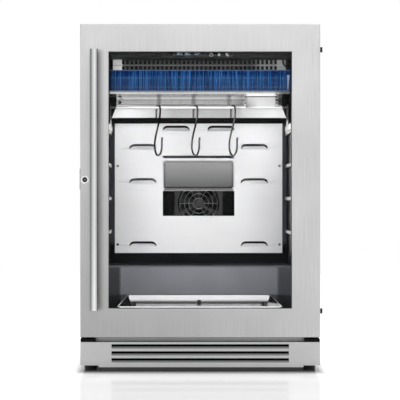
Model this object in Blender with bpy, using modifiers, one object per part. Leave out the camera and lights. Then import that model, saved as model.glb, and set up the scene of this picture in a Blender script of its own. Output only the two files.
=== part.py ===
# Dry aging cabinet: an insulated undercounter chamber with a glazed, side-hung door.
# Metres, +Z up, the door faces -Y. Local sizes below are taken from the middle of the
# cabinet, the front face of the door and the floor; one empty then sets the whole
# object about the middle of its bounding box.

import math

import bmesh
import bpy
from mathutils import Matrix, Vector

for old in list(bpy.data.objects):
    bpy.data.objects.remove(old, do_unlink=True)

# Driving dimensions
cabinet_width = 0.595
cabinet_height = 0.862
cabinet_depth = 0.575          # door face to the outside of the rear cover
door_bottom = 0.085
door_skin_depth = 0.042
plinth_top = 0.0732
foot_height = 0.0154
stile = 0.070                  # the door's steel beside, over and under its window
head_rail = 0.068
foot_rail = 0.0715
side_wall = 0.0595             # from the outside to the chamber, foam included
roof_wall = 0.050
rear_wall = 0.045
chamber_bottom = 0.140
hump_height = 0.112            # the step over the machine room
hump_length = 0.215
cheek_width = 0.034            # the slanted cheeks beside the step
cheek_length = 0.065
duct_depth = 0.114

window_half = cabinet_width / 2 - stile
window_bottom = door_bottom + foot_rail
window_top = cabinet_height - head_rail
chamber_half = cabinet_width / 2 - side_wall
chamber_top = cabinet_height - roof_wall
chamber_rear = cabinet_depth - rear_wall
hump_top = chamber_bottom + hump_height
hump_front = chamber_rear - hump_length
hump_half = chamber_half - cheek_width
cheek_front = hump_front - cheek_length
duct_front = chamber_rear - duct_depth

# Shared sheet gauges and clearances
seat_gap = 0.0003              # between pieces that touch
cut_overrun = 0.003            # how far a cutter runs past a wall
casing_sheet = 0.0012
liner_wall = 0.002
stainless_sheet = 0.0012

parts = bpy.data.collections.new("dry_aging_cabinet")
cutters = bpy.data.collections.new("cutters")
for group in (parts, cutters):
    bpy.context.scene.collection.children.link(group)

empties = {}
spots = {}


def carrier(name, spot, parent=None):
    """An empty that carries pieces; spot is in cabinet sizes, and for a moving body lies on its axis."""
    empty = bpy.data.objects.new(name, None)
    parts.objects.link(empty)
    if parent:
        empty.parent = empties[parent]
        empty.location = Vector(spot) - spots[parent]
    empties[name] = empty
    spots[name] = Vector(spot)
    return empty


def finish(name, colour, roughness, metallic, alpha=1.0):
    material = bpy.data.materials.new(name)
    material.use_nodes = True
    shader = material.node_tree.nodes["Principled BSDF"]
    shader.inputs["Base Color"].default_value = (*colour, 1.0)
    shader.inputs["Roughness"].default_value = roughness
    shader.inputs["Metallic"].default_value = metallic
    shader.inputs["Alpha"].default_value = alpha
    return material


def middle(mesh):
    low = Vector(min(v.co[i] for v in mesh.vertices) for i in range(3))
    high = Vector(max(v.co[i] for v in mesh.vertices) for i in range(3))
    return (low + high) / 2


def place(name, mesh, look, holder="cabinet", origin=None, smooth=None):
    """Makes one sub-part from a mesh in cabinet sizes, with its own material, on its carrier."""
    origin = Vector(origin) if origin else middle(mesh)
    mesh.transform(Matrix.Translation(-origin))
    mesh.name = name
    if smooth:
        mesh.shade_smooth()
        mesh.set_sharp_from_angle(angle=smooth)
    part = bpy.data.objects.new(name, mesh)
    parts.objects.link(part)
    part.parent = empties[holder]
    part.location = origin - spots[holder]
    mesh.materials.clear()
    mesh.materials.append(finish(name, *look))
    return part


def cut(part, mesh, holder="cabinet"):
    """Takes a closed mesh in cabinet sizes out of a part with a live Boolean."""
    cutter = bpy.data.objects.new(part.name + "_cut", mesh)
    cutters.objects.link(cutter)
    cutter.parent = empties[holder]
    cutter.location = -spots[holder]
    cutter.display_type = "WIRE"
    cutter.hide_render = True
    boolean = part.modifiers.new("cut", "BOOLEAN")
    boolean.operation = "DIFFERENCE"
    boolean.solver = "EXACT"
    boolean.object = cutter
    return part


def evaluated(obj):
    """The object's mesh with its modifiers applied; the object itself is removed."""
    bpy.context.view_layer.update()
    graph = bpy.context.evaluated_depsgraph_get()
    mesh = bpy.data.meshes.new_from_object(obj.evaluated_get(graph))
    mesh.transform(obj.matrix_world)
    bpy.data.objects.remove(obj, do_unlink=True)
    return mesh


def loose(mesh):
    obj = bpy.data.objects.new("blank", mesh)
    bpy.context.scene.collection.objects.link(obj)
    return obj


def combine(mesh, others, operation="UNION"):
    """One closed mesh from several, joined or cut in turn."""
    obj = loose(mesh)
    tools = [loose(other) for other in others]
    for tool in tools:
        boolean = obj.modifiers.new("combine", "BOOLEAN")
        boolean.operation = operation
        boolean.solver = "EXACT"
        boolean.object = tool
    result = evaluated(obj)
    for tool in tools:
        bpy.data.objects.remove(tool, do_unlink=True)
    return result


def to_mesh(bm, name="blank"):
    bmesh.ops.recalc_face_normals(bm, faces=bm.faces)
    mesh = bpy.data.meshes.new(name)
    bm.to_mesh(mesh)
    bm.free()
    return mesh


def boxes(*corner_pairs):
    """A mesh of one or more separate boxes, each from its low and high corner."""
    bm = bmesh.new()
    for low, high in corner_pairs:
        low, high = Vector(low), Vector(high)
        size = high - low
        grow = Matrix.Translation((low + high) / 2) @ Matrix.Diagonal((*size, 1.0))
        bmesh.ops.create_cube(bm, size=1.0, matrix=grow)
    return to_mesh(bm)


def rounded_box(low, high, radius, segments=2):
    bm = bmesh.new()
    low, high = Vector(low), Vector(high)
    grow = Matrix.Translation((low + high) / 2) @ Matrix.Diagonal((*(high - low), 1.0))
    bmesh.ops.create_cube(bm, size=1.0, matrix=grow)
    bmesh.ops.bevel(bm, geom=bm.edges[:], offset=radius, segments=segments, profile=0.5, affect="EDGES")
    return to_mesh(bm)


def rod(start, end, radius, sides=16, end_radius=None):
    """A closed cylinder or cone between two points."""
    start, end = Vector(start), Vector(end)
    run = end - start
    turn = run.to_track_quat("Z", "Y").to_matrix().to_4x4()
    bm = bmesh.new()
    far = radius if end_radius is None else end_radius
    bmesh.ops.create_cone(
        bm, cap_ends=True, segments=sides, radius1=radius, radius2=far, depth=run.length,
        matrix=Matrix.Translation((start + end) / 2) @ turn,
    )
    return to_mesh(bm)


def rectangle(half, bottom, top, grow=0.0):
    return (half + grow, bottom - grow, top + grow)


def frame_loft(rings):
    """A picture frame: each ring is (half width, bottom, top, y), and the last ring meets the first."""
    bm = bmesh.new()
    loops = []
    for half, bottom, top, y in rings:
        corners = ((-half, bottom), (half, bottom), (half, top), (-half, top))
        loops.append([bm.verts.new((x, y, z)) for x, z in corners])
    for here, there in zip(loops, loops[1:] + loops[:1]):
        for i in range(len(here)):
            j = (i + 1) % len(here)
            bm.faces.new((here[i], here[j], there[j], there[i]))
    return to_mesh(bm)


PLANES = {
    "XY": Matrix(((1, 0, 0), (0, 1, 0), (0, 0, 1))),
    "XZ": Matrix(((1, 0, 0), (0, 0, 1), (0, 1, 0))),
    "YZ": Matrix(((0, 0, 1), (1, 0, 0), (0, 1, 0))),
}


def plate(plane, outline, start, end, holes=()):
    """A flat outline with holes, filled as a 2D curve, between two levels across its plane."""
    curve = bpy.data.curves.new("blank", "CURVE")
    curve.dimensions = "2D"
    curve.fill_mode = "BOTH"
    curve.extrude = abs(end - start) / 2
    for points in (outline, *holes):
        spline = curve.splines.new("POLY")
        spline.points.add(len(points) - 1)
        for point, (u, v) in zip(spline.points, points):
            point.co = (u, v, 0, 1)
        spline.use_cyclic_u = True
    mesh = evaluated(loose(curve))
    mesh.transform(Matrix.Translation((0, 0, (start + end) / 2)))
    mesh.transform(PLANES[plane].to_4x4())
    bm = bmesh.new()
    bm.from_mesh(mesh)
    bmesh.ops.remove_doubles(bm, verts=bm.verts, dist=seat_gap * weld_share)
    return to_mesh(bm)


def block(u0, v0, u1, v1):
    return [(u0, v0), (u1, v0), (u1, v1), (u0, v1)]


def circle(u, v, radius, count=24):
    return [
        (u + radius * math.cos(math.tau * i / count), v + radius * math.sin(math.tau * i / count))
        for i in range(count)
    ]


def turned(profile, axis_spot, direction=(0, 0, 1), steps=24):
    """A profile of (radius, height) from top to bottom, turned with a Screw; one that ends where it began is a ring."""
    is_ring = profile[0] == profile[-1]
    points = profile[:-1] if is_ring else profile
    edges = [(i, i + 1) for i in range(len(points) - 1)]
    if is_ring:
        edges.append((len(points) - 1, 0))
    mesh = bpy.data.meshes.new("blank")
    mesh.from_pydata([(r, 0, h) for r, h in points], edges, [])
    obj = loose(mesh)
    screw = obj.modifiers.new("turn", "SCREW")
    screw.steps = screw.render_steps = steps
    screw.use_merge_vertices = True
    screw.merge_threshold = seat_gap * weld_share
    result = evaluated(obj)
    turn = Vector(direction).to_track_quat("Z", "Y").to_matrix().to_4x4()
    result.transform(Matrix.Translation(axis_spot) @ turn)
    return result


def tube(points, radius, sides_level=2):
    """A round wire along points, with filled and welded caps."""
    curve = bpy.data.curves.new("blank", "CURVE")
    curve.dimensions = "3D"
    curve.bevel_depth = radius
    curve.bevel_resolution = sides_level
    curve.use_fill_caps = True
    spline = curve.splines.new("POLY")
    spline.points.add(len(points) - 1)
    for point, place_of in zip(spline.points, points):
        point.co = (*place_of, 1)
    mesh = evaluated(loose(curve))
    bm = bmesh.new()
    bm.from_mesh(mesh)
    bmesh.ops.remove_doubles(bm, verts=bm.verts, dist=seat_gap * weld_share)
    return to_mesh(bm)


def arc(centre, radius, start, end, count):
    """Points (u, v) along an arc, angles in degrees."""
    angles = [math.radians(start + (end - start) * i / count) for i in range(count + 1)]
    return [(centre[0] + radius * math.cos(a), centre[1] + radius * math.sin(a)) for a in angles]


weld_share = 0.05              # a weld distance as a share of the seat gap
round_edge = math.radians(35)  # edges sharper than this stay sharp

# Door: a folded steel skin round a moulded frame that holds two panes and the seal
door_sheet = 0.001
window_return = 0.008          # the skin's fold into the window
skin_edge_radius = 0.002
frame_proud = 0.004            # how far the moulded frame stands behind the skin
pane_overlap = 0.012
pane_thickness = 0.004
spacer_depth = 0.0154
spacer_width = 0.009
spacer_inset = 0.0015
gasket_margin = 0.0405         # from the window's edge to the seal's outer edge
gasket_width = 0.016
gasket_depth = 0.0077
gasket_waist = 0.002
gasket_waist_share = 0.45

frame_back = door_skin_depth + frame_proud
gasket_back = frame_back + seat_gap + gasket_depth
body_front = gasket_back + seat_gap
door_half = cabinet_width / 2
casing_half = cabinet_width / 2

# Body shell
cover_sheet = 0.0015
body_rear = cabinet_depth - cover_sheet - seat_gap
pan_rim = 0.0626               # the base pan's upturned rim, under the foam
compartment_setback = 0.030
compartment_cover = 0.037      # foam left under the step's top
cover_side = 0.0425
cover_margin = 0.008
cover_lap = 0.008              # how far the cover laps over the casing round its opening

pan_top = foot_height + pan_rim
compartment_front = hump_front + compartment_setback
compartment_top = hump_top - compartment_cover
cover_half = casing_half - cover_side
cover_bottom = pan_top + cover_margin
cover_top = compartment_top - cover_margin

# Hinges
hinge_inset = 0.0125           # the pin's line from the door's right flank
hinge_y = 0.015
hinge_pin = 0.004
pin_clearance = 0.0003
hinge_leaf_width = 0.0375
hinge_leaf_clearance = 0.0008  # over the plinth
hinge_leaf_thickness = 0.0072
hinge_leaf_front = 0.004
hinge_back_depth = 0.004       # the upright leaf in front of the body flange
hinge_back_height = 0.034
hinge_back_width = 0.025
hinge_side_clearance = 0.0006
hinge_boss = 0.007
lower_pin_reach = 0.013
upper_leaf_thickness = 0.006
upper_leaf_drop = 0.0045       # from the cabinet's top down to the leaf
upper_tongue = 0.008
notch_clearance = 0.0008
upper_pin_reach = 0.013

hinge_x = door_half - hinge_inset
hinge_leaf_inner = door_half - hinge_leaf_width
hinge_leaf_bottom = plinth_top + hinge_leaf_clearance
hinge_back_inner = door_half - hinge_back_width

# Lock
lock_inset = 0.0115
lock_height = 0.391            # up from the door's lower edge
lock_ring_radius = 0.00965
lock_radius = 0.0062
lock_ring_thickness = 0.0016
lock_rear = 0.020
lock_slot_width = 0.0018
lock_slot_height = 0.0072
lock_slot_depth = 0.003
cam_thickness = 0.003
cam_half = 0.004
cam_reach = 0.015
cam_clearance = 0.0010
keeper_sheet = 0.0012
keeper_stand = 0.001           # joggle that keeps the keeper clear of the door's swing
keeper_seat = 0.058            # where the joggle starts, behind the body's front
keeper_front = 0.014
keeper_back = 0.108
keeper_below = 0.0245
keeper_above = 0.028

lock_x = -door_half + lock_inset
lock_z = door_bottom + lock_height
keeper_bottom = lock_z - keeper_below
keeper_top = lock_z + keeper_above

# Hinge-side spacers
spacer_peg_radius = 0.0034
spacer_peg_pitch = 0.0065
spacer_reach = 0.0095
spacer_y = 0.072
spacer_from_top = 0.0595
spacer_from_door_bottom = 0.0623

left_reach = casing_half + seat_gap + keeper_stand + keeper_sheet
right_reach = casing_half + seat_gap + spacer_reach
handle_radius = 0.010
handle_inset = 0.0355
handle_stand = 0.045           # from the door face out to the bar's centre line
handle_below_window = 0.0028
handle_above_window = 0.0037
handle_post_radius = 0.006
handle_post_inset = 0.060
handle_x = -door_half + handle_inset
handle_bottom = window_bottom - handle_below_window
handle_top = window_top + handle_above_window
front_reach = handle_stand + handle_radius

carrier("model_centre", ((right_reach - left_reach) / 2, (cabinet_depth - front_reach) / 2, 0))
empties["model_centre"].location = (0, 0, 0)
carrier("cabinet", (0, 0, 0), "model_centre")
carrier("door", (hinge_x, hinge_y, 0), "cabinet")
carrier("lock", (lock_x, 0, lock_z), "door")

steel_look = ((0.62, 0.62, 0.62), 0.32, 1.0)
polished_look = ((0.80, 0.80, 0.80), 0.12, 1.0)
white_steel_look = ((0.82, 0.82, 0.83), 0.35, 0.6)
dark_plastic_look = ((0.045, 0.047, 0.055), 0.45, 0.0)
black_plastic_look = ((0.012, 0.012, 0.013), 0.4, 0.0)
black_steel_look = ((0.015, 0.015, 0.015), 0.45, 0.6)
galvanised_look = ((0.45, 0.46, 0.47), 0.45, 0.9)
rubber_look = ((0.02, 0.02, 0.02), 0.7, 0.0)
glass_look = ((0.85, 0.9, 0.9), 0.03, 0.0, 0.15)


def chamber(grow, front):
    """The chamber's inside, grown by a wall: full height at the back, chamfered in plan beside the hump."""
    wall_to_cheek = math.atan2(chamber_half - hump_half, hump_front - cheek_front)
    side_shift = math.tan(wall_to_cheek / 2)
    face_shift = math.tan((math.pi / 2 - wall_to_cheek) / 2)
    half = chamber_half + grow
    sump_half = [
        (half, front),
        (half, cheek_front + grow * side_shift),
        (hump_half + grow * face_shift, hump_front + grow),
    ]
    sump = sump_half + [(-x, y) for x, y in reversed(sump_half)]
    lower = plate("XY", sump, chamber_bottom - grow, hump_top - grow + cut_overrun)
    upper = boxes(((-half, front, hump_top - grow), (half, chamber_rear + grow, chamber_top + grow)))
    return combine(upper, [lower])


def build_casing():
    inner = casing_half - casing_sheet
    shell = boxes(((-casing_half, body_front, foot_height), (casing_half, body_rear, cabinet_height)))
    hollow = boxes((
        (-inner, body_front + casing_sheet, foot_height - cut_overrun),
        (inner, body_rear - casing_sheet, cabinet_height - casing_sheet),
    ))
    casing = place("outer_casing", combine(shell, [hollow], "DIFFERENCE"), steel_look)
    mouth = liner_wall + seat_gap
    window = (
        (-chamber_half - mouth, body_front - cut_overrun, chamber_bottom - mouth),
        (chamber_half + mouth, body_front + casing_sheet + cut_overrun, chamber_top + mouth),
    )
    rear = (
        (-cover_half + cover_lap, body_rear - casing_sheet - cut_overrun, cover_bottom + cover_lap),
        (cover_half - cover_lap, body_rear + cut_overrun, cover_top - cover_lap),
    )
    cut(casing, boxes(window, rear))
    # Air passes from the plinth into the base through the lower front wall
    vent = (
        (-louvre_half, body_front - cut_overrun, foot_height + plinth_sheet + vent_margin),
        (louvre_half, body_front + casing_sheet + cut_overrun, plinth_top - vent_margin),
    )
    cut(casing, boxes(vent))


def build_liner():
    inside = chamber(0, body_front - cut_overrun)
    place("inner_liner", combine(chamber(liner_wall, body_front), [inside], "DIFFERENCE"), dark_plastic_look)


def build_foam():
    inner = casing_half - casing_sheet - seat_gap
    low = (-inner, body_front + casing_sheet + seat_gap, pan_top + seat_gap)
    high = (inner, body_rear - casing_sheet - seat_gap, cabinet_height - casing_sheet - seat_gap)
    foam = place("insulation_foam", boxes((low, high)), ((0.75, 0.68, 0.45), 0.9, 0.0))
    cut(foam, chamber(liner_wall + seat_gap, body_front - cut_overrun))
    room = (
        (-inner - cut_overrun, compartment_front, pan_top - cut_overrun),
        (inner + cut_overrun, body_rear + cut_overrun, compartment_top),
    )
    cut(foam, boxes(room))


# Base
pan_sheet = 0.0012
plinth_sheet = 0.001
plinth_front = 0.003
louvre_end = 0.0775            # plain sheet left at each end of the plinth
louvre_row_shares = ((0.709, 0.910), (0.417, 0.609), (0.116, 0.310))
louvre_depth = 0.009
louvre_rise = 0.002
louvre_sheet = 0.0009
vent_margin = 0.006
foot_radius = 0.0153
foot_neck = 0.006
foot_stem = 0.004
foot_stem_height = 0.012
foot_bevel = 0.0012
foot_pad_share = 0.68
foot_side_inset = 0.0235
foot_front_inset = 0.0237
foot_rear_inset = 0.040

louvre_half = casing_half - louvre_end
plinth_rise = plinth_top - foot_height
louvre_rows = [[foot_height + plinth_rise * share for share in pair] for pair in louvre_row_shares]
foot_x = casing_half - foot_side_inset
foot_front_y = body_front + foot_front_inset
foot_rear_y = cabinet_depth - foot_rear_inset


def build_base():
    half = casing_half - casing_sheet - seat_gap
    front = body_front + casing_sheet + seat_gap
    rear = body_rear - casing_sheet - seat_gap
    outer = boxes(((-half, front, foot_height), (half, rear, pan_top)))
    inner = boxes((
        (-half + pan_sheet, front + pan_sheet, foot_height + pan_sheet),
        (half - pan_sheet, rear - pan_sheet, pan_top + cut_overrun),
    ))
    pan = place("base_pan", combine(outer, [inner], "DIFFERENCE"), galvanised_look)
    cut(pan, boxes((
        (-louvre_half, front - cut_overrun, foot_height + plinth_sheet + vent_margin),
        (louvre_half, front + pan_sheet + cut_overrun, plinth_top - vent_margin),
    )))
    hole = foot_stem + pin_clearance
    for x in (-foot_x, foot_x):
        for y in (foot_front_y, foot_rear_y):
            start = (x, y, foot_height - cut_overrun)
            end = (x, y, foot_height + pan_sheet + cut_overrun)
            cut(pan, rod(start, end, hole))


def build_plinth():
    half = casing_half
    rear = body_front - seat_gap
    outer = boxes(((-half, plinth_front, foot_height), (half, rear, plinth_top)))
    hollow = boxes((
        (-half + plinth_sheet, plinth_front + plinth_sheet, foot_height + plinth_sheet),
        (half - plinth_sheet, rear + cut_overrun, plinth_top - plinth_sheet),
    ))
    slots = boxes(*(
        ((-louvre_half, plinth_front - cut_overrun, low), (louvre_half, plinth_front + plinth_sheet + cut_overrun, high))
        for low, high in louvre_rows
    ))
    shell = combine(outer, [hollow, slots], "DIFFERENCE")
    # Each blade is pressed back from the lower edge of its slot
    root = plinth_sheet / 2
    blades = []
    for low, high in louvre_rows:
        profile = [
            (plinth_front + root / 2, low - root),
            (plinth_front + root / 2 + louvre_sheet, low - root),
            (plinth_front + louvre_depth, high + louvre_rise - louvre_sheet),
            (plinth_front + louvre_depth, high + louvre_rise),
            (plinth_front + louvre_depth - louvre_sheet, high + louvre_rise),
            (plinth_front + root / 2, low + root),
        ]
        blades.append(plate("YZ", profile, -louvre_half - root, louvre_half + root))
    place("kick_plate", combine(shell, blades), steel_look)


def build_feet():
    pad_top = foot_height * foot_pad_share
    neck_top = foot_height - seat_gap
    profile = [
        (0, neck_top + foot_stem_height),
        (foot_stem, neck_top + foot_stem_height),
        (foot_stem, neck_top),
        (foot_neck, neck_top),
        (foot_neck, pad_top),
        (foot_radius - foot_bevel, pad_top),
        (foot_radius, pad_top - foot_bevel),
        (foot_radius, foot_bevel),
        (foot_radius - foot_bevel, 0),
        (0, 0),
    ]
    for side, x in (("left", -foot_x), ("right", foot_x)):
        for end, y in (("front", foot_front_y), ("rear", foot_rear_y)):
            name = f"foot_{end}_{side}"
            carrier(name + "_axis", (x, y, 0), "cabinet")
            place(name, turned(profile, (x, y, 0)), rubber_look, name + "_axis", (x, y, 0), round_edge)


# Rear cover and mains inlet
cover_slot_half = 0.028
cover_slot_height = 0.004
cover_slot_pitch = 0.0105
cover_slot_rows = 8
cover_slot_column_shares = (-0.59, -0.295, 0, 0.295, 0.59)
inlet_inset = 0.037
inlet_half = 0.0145
inlet_lift = 0.014
inlet_height = 0.0225
inlet_depth = 0.021
inlet_wall = 0.0025
inlet_recess = 0.016

inlet_x = cover_half - inlet_inset
inlet_bottom = cover_bottom + inlet_lift
inlet_top = inlet_bottom + inlet_height


def build_rear():
    start = body_rear + seat_gap
    first = cover_bottom + cover_lap + cover_slot_pitch / 2
    holes = [block(inlet_x - inlet_half - seat_gap, inlet_bottom - seat_gap,
                   inlet_x + inlet_half + seat_gap, inlet_top + seat_gap)]
    for share in cover_slot_column_shares:
        x = cover_half * share
        for row in range(cover_slot_rows):
            z = first + row * cover_slot_pitch
            holes.append(block(x - cover_slot_half, z, x + cover_slot_half, z + cover_slot_height))
    outline = block(-cover_half, cover_bottom, cover_half, cover_top)
    place("rear_service_cover", plate("XZ", outline, start, start + cover_sheet, holes), black_steel_look)
    inlet = place("mains_inlet", boxes((
        (inlet_x - inlet_half, cabinet_depth - inlet_depth, inlet_bottom),
        (inlet_x + inlet_half, cabinet_depth, inlet_top),
    )), black_plastic_look)
    cut(inlet, boxes((
        (inlet_x - inlet_half + inlet_wall, cabinet_depth - inlet_recess, inlet_bottom + inlet_wall),
        (inlet_x + inlet_half - inlet_wall, cabinet_depth + cut_overrun, inlet_top - inlet_wall),
    )))


# Machine compartment
compressor_side = 0.1675
compressor_back = 0.1112
compressor_radius = 0.070
compressor_height = 0.148
compressor_foot_radius = 0.082
compressor_foot = 0.006
compressor_shares = ((0.0, 1.0), (0.45, 0.985), (0.78, 0.90), (0.95, 0.72), (1.0, 0.50))
condenser_side = 0.0625
condenser_width = 0.180
condenser_gap = 0.027          # from the machine room's front wall
condenser_depth = 0.040
condenser_height = 0.168
condenser_fins = 18
fin_share = 0.38               # a fin's thickness as a share of its pitch
spine_share = 0.3              # the core's depth as a share of the coil's
shroud_sheet = 0.003
shroud_margin = 0.008
pipe_radius = 0.003
pipe_rise = 0.030
pipe_run_shares = (0.06, 0.3, 0.5, 0.7, 0.94)

compressor_x = casing_half - compressor_side
compressor_y = body_rear - compressor_back
condenser_left = -casing_half + condenser_side
condenser_right = condenser_left + condenser_width
condenser_front = compartment_front + condenser_gap
condenser_top = foot_height + condenser_height


def finned_coil(left, right, front, depth, bottom, top, fins):
    """A coil as a comb on both sides of its core, drawn up over its height."""
    pitch = (right - left) / fins
    spine_low = front + depth * (1 - spine_share) / 2
    spine_high = front + depth * (1 + spine_share) / 2
    near, far = [], []
    for i in range(fins):
        start = left + i * pitch
        stop = start + pitch * fin_share if i < fins - 1 else right
        begin = start if i < fins - 1 else right - pitch * fin_share
        near += [(begin, front), (stop, front)]
        far += [(begin, front + depth), (stop, front + depth)]
        if i < fins - 1:
            following = start + pitch if i < fins - 2 else right - pitch * fin_share
            near += [(stop, spine_low), (following, spine_low)]
            far += [(stop, spine_high), (following, spine_high)]
    return plate("XY", near + far[::-1], bottom, top)


def sector(u, v, inner, outer, start, end, count=7):
    """A window between two spokes, from the hub's edge out to the rim."""
    return arc((u, v), outer, start, end, count) + arc((u, v), inner, end, start, max(count // 2, 2))


def fan_ring(x, z, half, radius, hub, spoke_angle, start, thickness):
    """A square frame round a fan, with three spokes to its motor."""
    windows = [
        sector(x, z, hub, radius, 90 + i * 120 + spoke_angle, 90 + (i + 1) * 120 - spoke_angle)
        for i in range(3)
    ]
    return plate("XZ", block(x - half, z - half, x + half, z + half), start, start + thickness, windows)


def fan_rotor(x, y, z, hub, hub_depth, radius):
    """A hub with twisted blades, each lofted from root to tip, turning about Y."""
    centre = Matrix.Translation((x, y + hub_depth / 2, z))
    solid = rod((x, y, z), (x, y + hub_depth, z), hub, 20)
    thickness = hub_depth * blade_thickness_share
    petals = []
    for k in range(fan_blades):
        bm = bmesh.new()
        rings = []
        for share in blade_ring_shares:
            reach = hub * blade_root_share + (radius - hub * blade_root_share) * share
            chord = hub_depth * blade_chord_share * (1 + share)
            tilt = math.radians(blade_root_pitch + (blade_tip_pitch - blade_root_pitch) * share)
            ring = []
            for side, face in ((-1, -1), (1, -1), (1, 1), (-1, 1)):
                along, across = side * chord / 2, face * thickness / 2
                y_off = along * math.sin(tilt) + across * math.cos(tilt)
                x_off = along * math.cos(tilt) - across * math.sin(tilt)
                ring.append(bm.verts.new((x_off, y_off, reach)))
            rings.append(ring)
        for here, there in zip(rings, rings[1:]):
            for i in range(4):
                j = (i + 1) % 4
                bm.faces.new((here[i], here[j], there[j], there[i]))
        bm.faces.new(rings[0])
        bm.faces.new(rings[-1])
        petal = to_mesh(bm)
        petal.transform(centre @ Matrix.Rotation(math.tau * k / fan_blades, 4, "Y"))
        petals.append(petal)
    return combine(solid, petals)


blade_thickness_share = 0.10
blade_root_share = 0.8
blade_chord_share = 0.85
blade_ring_shares = (0, 0.5, 1)
blade_root_pitch = 52
blade_tip_pitch = 28
fan_blades = 5
condenser_fan_radius = 0.058
condenser_fan_hub = 0.018
condenser_fan_depth = 0.018
condenser_fan_clearance = 0.004
spoke_gap_angle = 8


def build_machine():
    floor = foot_height + pan_sheet + seat_gap
    dome = [(compressor_radius * r, compressor_foot + (compressor_height - compressor_foot) * h)
            for h, r in reversed(compressor_shares)]
    profile = [(0, compressor_height)] + dome + [
        (compressor_foot_radius, compressor_foot),
        (compressor_foot_radius, 0),
        (0, 0),
    ]
    place("compressor", turned(profile, (compressor_x, compressor_y, floor)), black_steel_look,
          smooth=round_edge)
    place("condenser_coil", finned_coil(condenser_left, condenser_right, condenser_front, condenser_depth,
                                        floor, condenser_top, condenser_fins), galvanised_look)
    fan_x = (condenser_left + condenser_right) / 2
    fan_z = (floor + condenser_top) / 2
    half = (condenser_top - floor) / 2
    shroud_y = condenser_front + condenser_depth + seat_gap
    place("condenser_fan_shroud", fan_ring(fan_x, fan_z, half, condenser_fan_radius + condenser_fan_clearance,
                                           condenser_fan_hub, spoke_gap_angle, shroud_y, shroud_sheet),
          black_plastic_look)
    rotor_y = shroud_y + shroud_sheet + seat_gap
    axis = (fan_x, rotor_y + condenser_fan_depth / 2, fan_z)
    carrier("condenser_fan", axis, "cabinet")
    rotor = fan_rotor(fan_x, rotor_y, fan_z, condenser_fan_hub, condenser_fan_depth, condenser_fan_radius)
    place("condenser_fan_rotor", rotor, black_plastic_look, "condenser_fan", axis)
    # The discharge pipe leaves the compressor's crown and drops onto the coil
    start_z = floor + compressor_height + seat_gap
    end_x = condenser_right - pipe_radius * 2
    end_y = condenser_front + condenser_depth / 2
    end_z = condenser_top + seat_gap
    top_z = start_z + pipe_rise
    route = [(compressor_x, compressor_y, start_z), (compressor_x, compressor_y, start_z + pipe_rise / 2)]
    for share in pipe_run_shares:
        route.append((compressor_x + (end_x - compressor_x) * share,
                      compressor_y + (end_y - compressor_y) * share, top_z))
    route += [(end_x, end_y, (top_z + end_z) / 2), (end_x, end_y, end_z)]
    place("discharge_pipe", tube(route, pipe_radius, 1), ((0.72, 0.38, 0.22), 0.35, 1.0), smooth=round_edge)


# Air duct: a louvred stainless panel with the fan and the evaporator behind it
duct_side_gap = 0.0163
duct_foot_gap = 0.0326
duct_head_gap = 0.184
louvre_span = 0.0717
louvre_height = 0.0152         # from the fold line to the arch of the mouth
louvre_mouth = 0.0062
louvre_corner = 0.0125         # the arch's ends curve down
louvre_press = 0.0075
louvre_tongue_share = 0.12     # what is left of the pressed tongue at its ends
louvre_side = 0.0737           # the outer louvres' centre from the panel's edge
inner_louvre_share = 0.402
outer_louvre_shares = (0.8427, 0.5778, 0.0900)
inner_louvre_top_share = 0.985
corner_angles = (0, 24, 46, 64, 80)
fan_window_gap = 0.0171        # between the fan's window and the outer louvres
fan_window_shares = (0.2865, 0.4787)
fan_slot_shares = (0.7321, 0.7525)
fan_bulge_shares = (0.4904, 0.7190)
fan_bulge_press = 0.010
fan_bulge_slope = 0.008

duct_half = chamber_half - duct_side_gap
duct_bottom = hump_top + duct_foot_gap
duct_top = chamber_top - duct_head_gap
outer_louvre_x = duct_half - louvre_side
inner_louvre_x = outer_louvre_x * inner_louvre_share
fan_window_half = outer_louvre_x - louvre_span / 2 - fan_window_gap


def up_the_duct(share):
    return duct_bottom + (duct_top - duct_bottom) * share


def arch_share(offset):
    """How much of a louvre's height is left at this distance from its middle: its corners are rounded."""
    into_corner = abs(offset) - (louvre_span / 2 - louvre_corner)
    if into_corner <= 0:
        return 1
    drop = louvre_corner - math.sqrt(max(louvre_corner**2 - into_corner**2, 0))
    return (louvre_height - drop) / louvre_height


def louvre_columns(x):
    """The places across one louvre: its straight middle, and points round each corner."""
    flat = louvre_span / 2 - louvre_corner
    reach = [flat + louvre_corner * math.sin(math.radians(angle)) for angle in corner_angles]
    return [x - r for r in reversed(reach)] + [x + r for r in reach]


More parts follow.
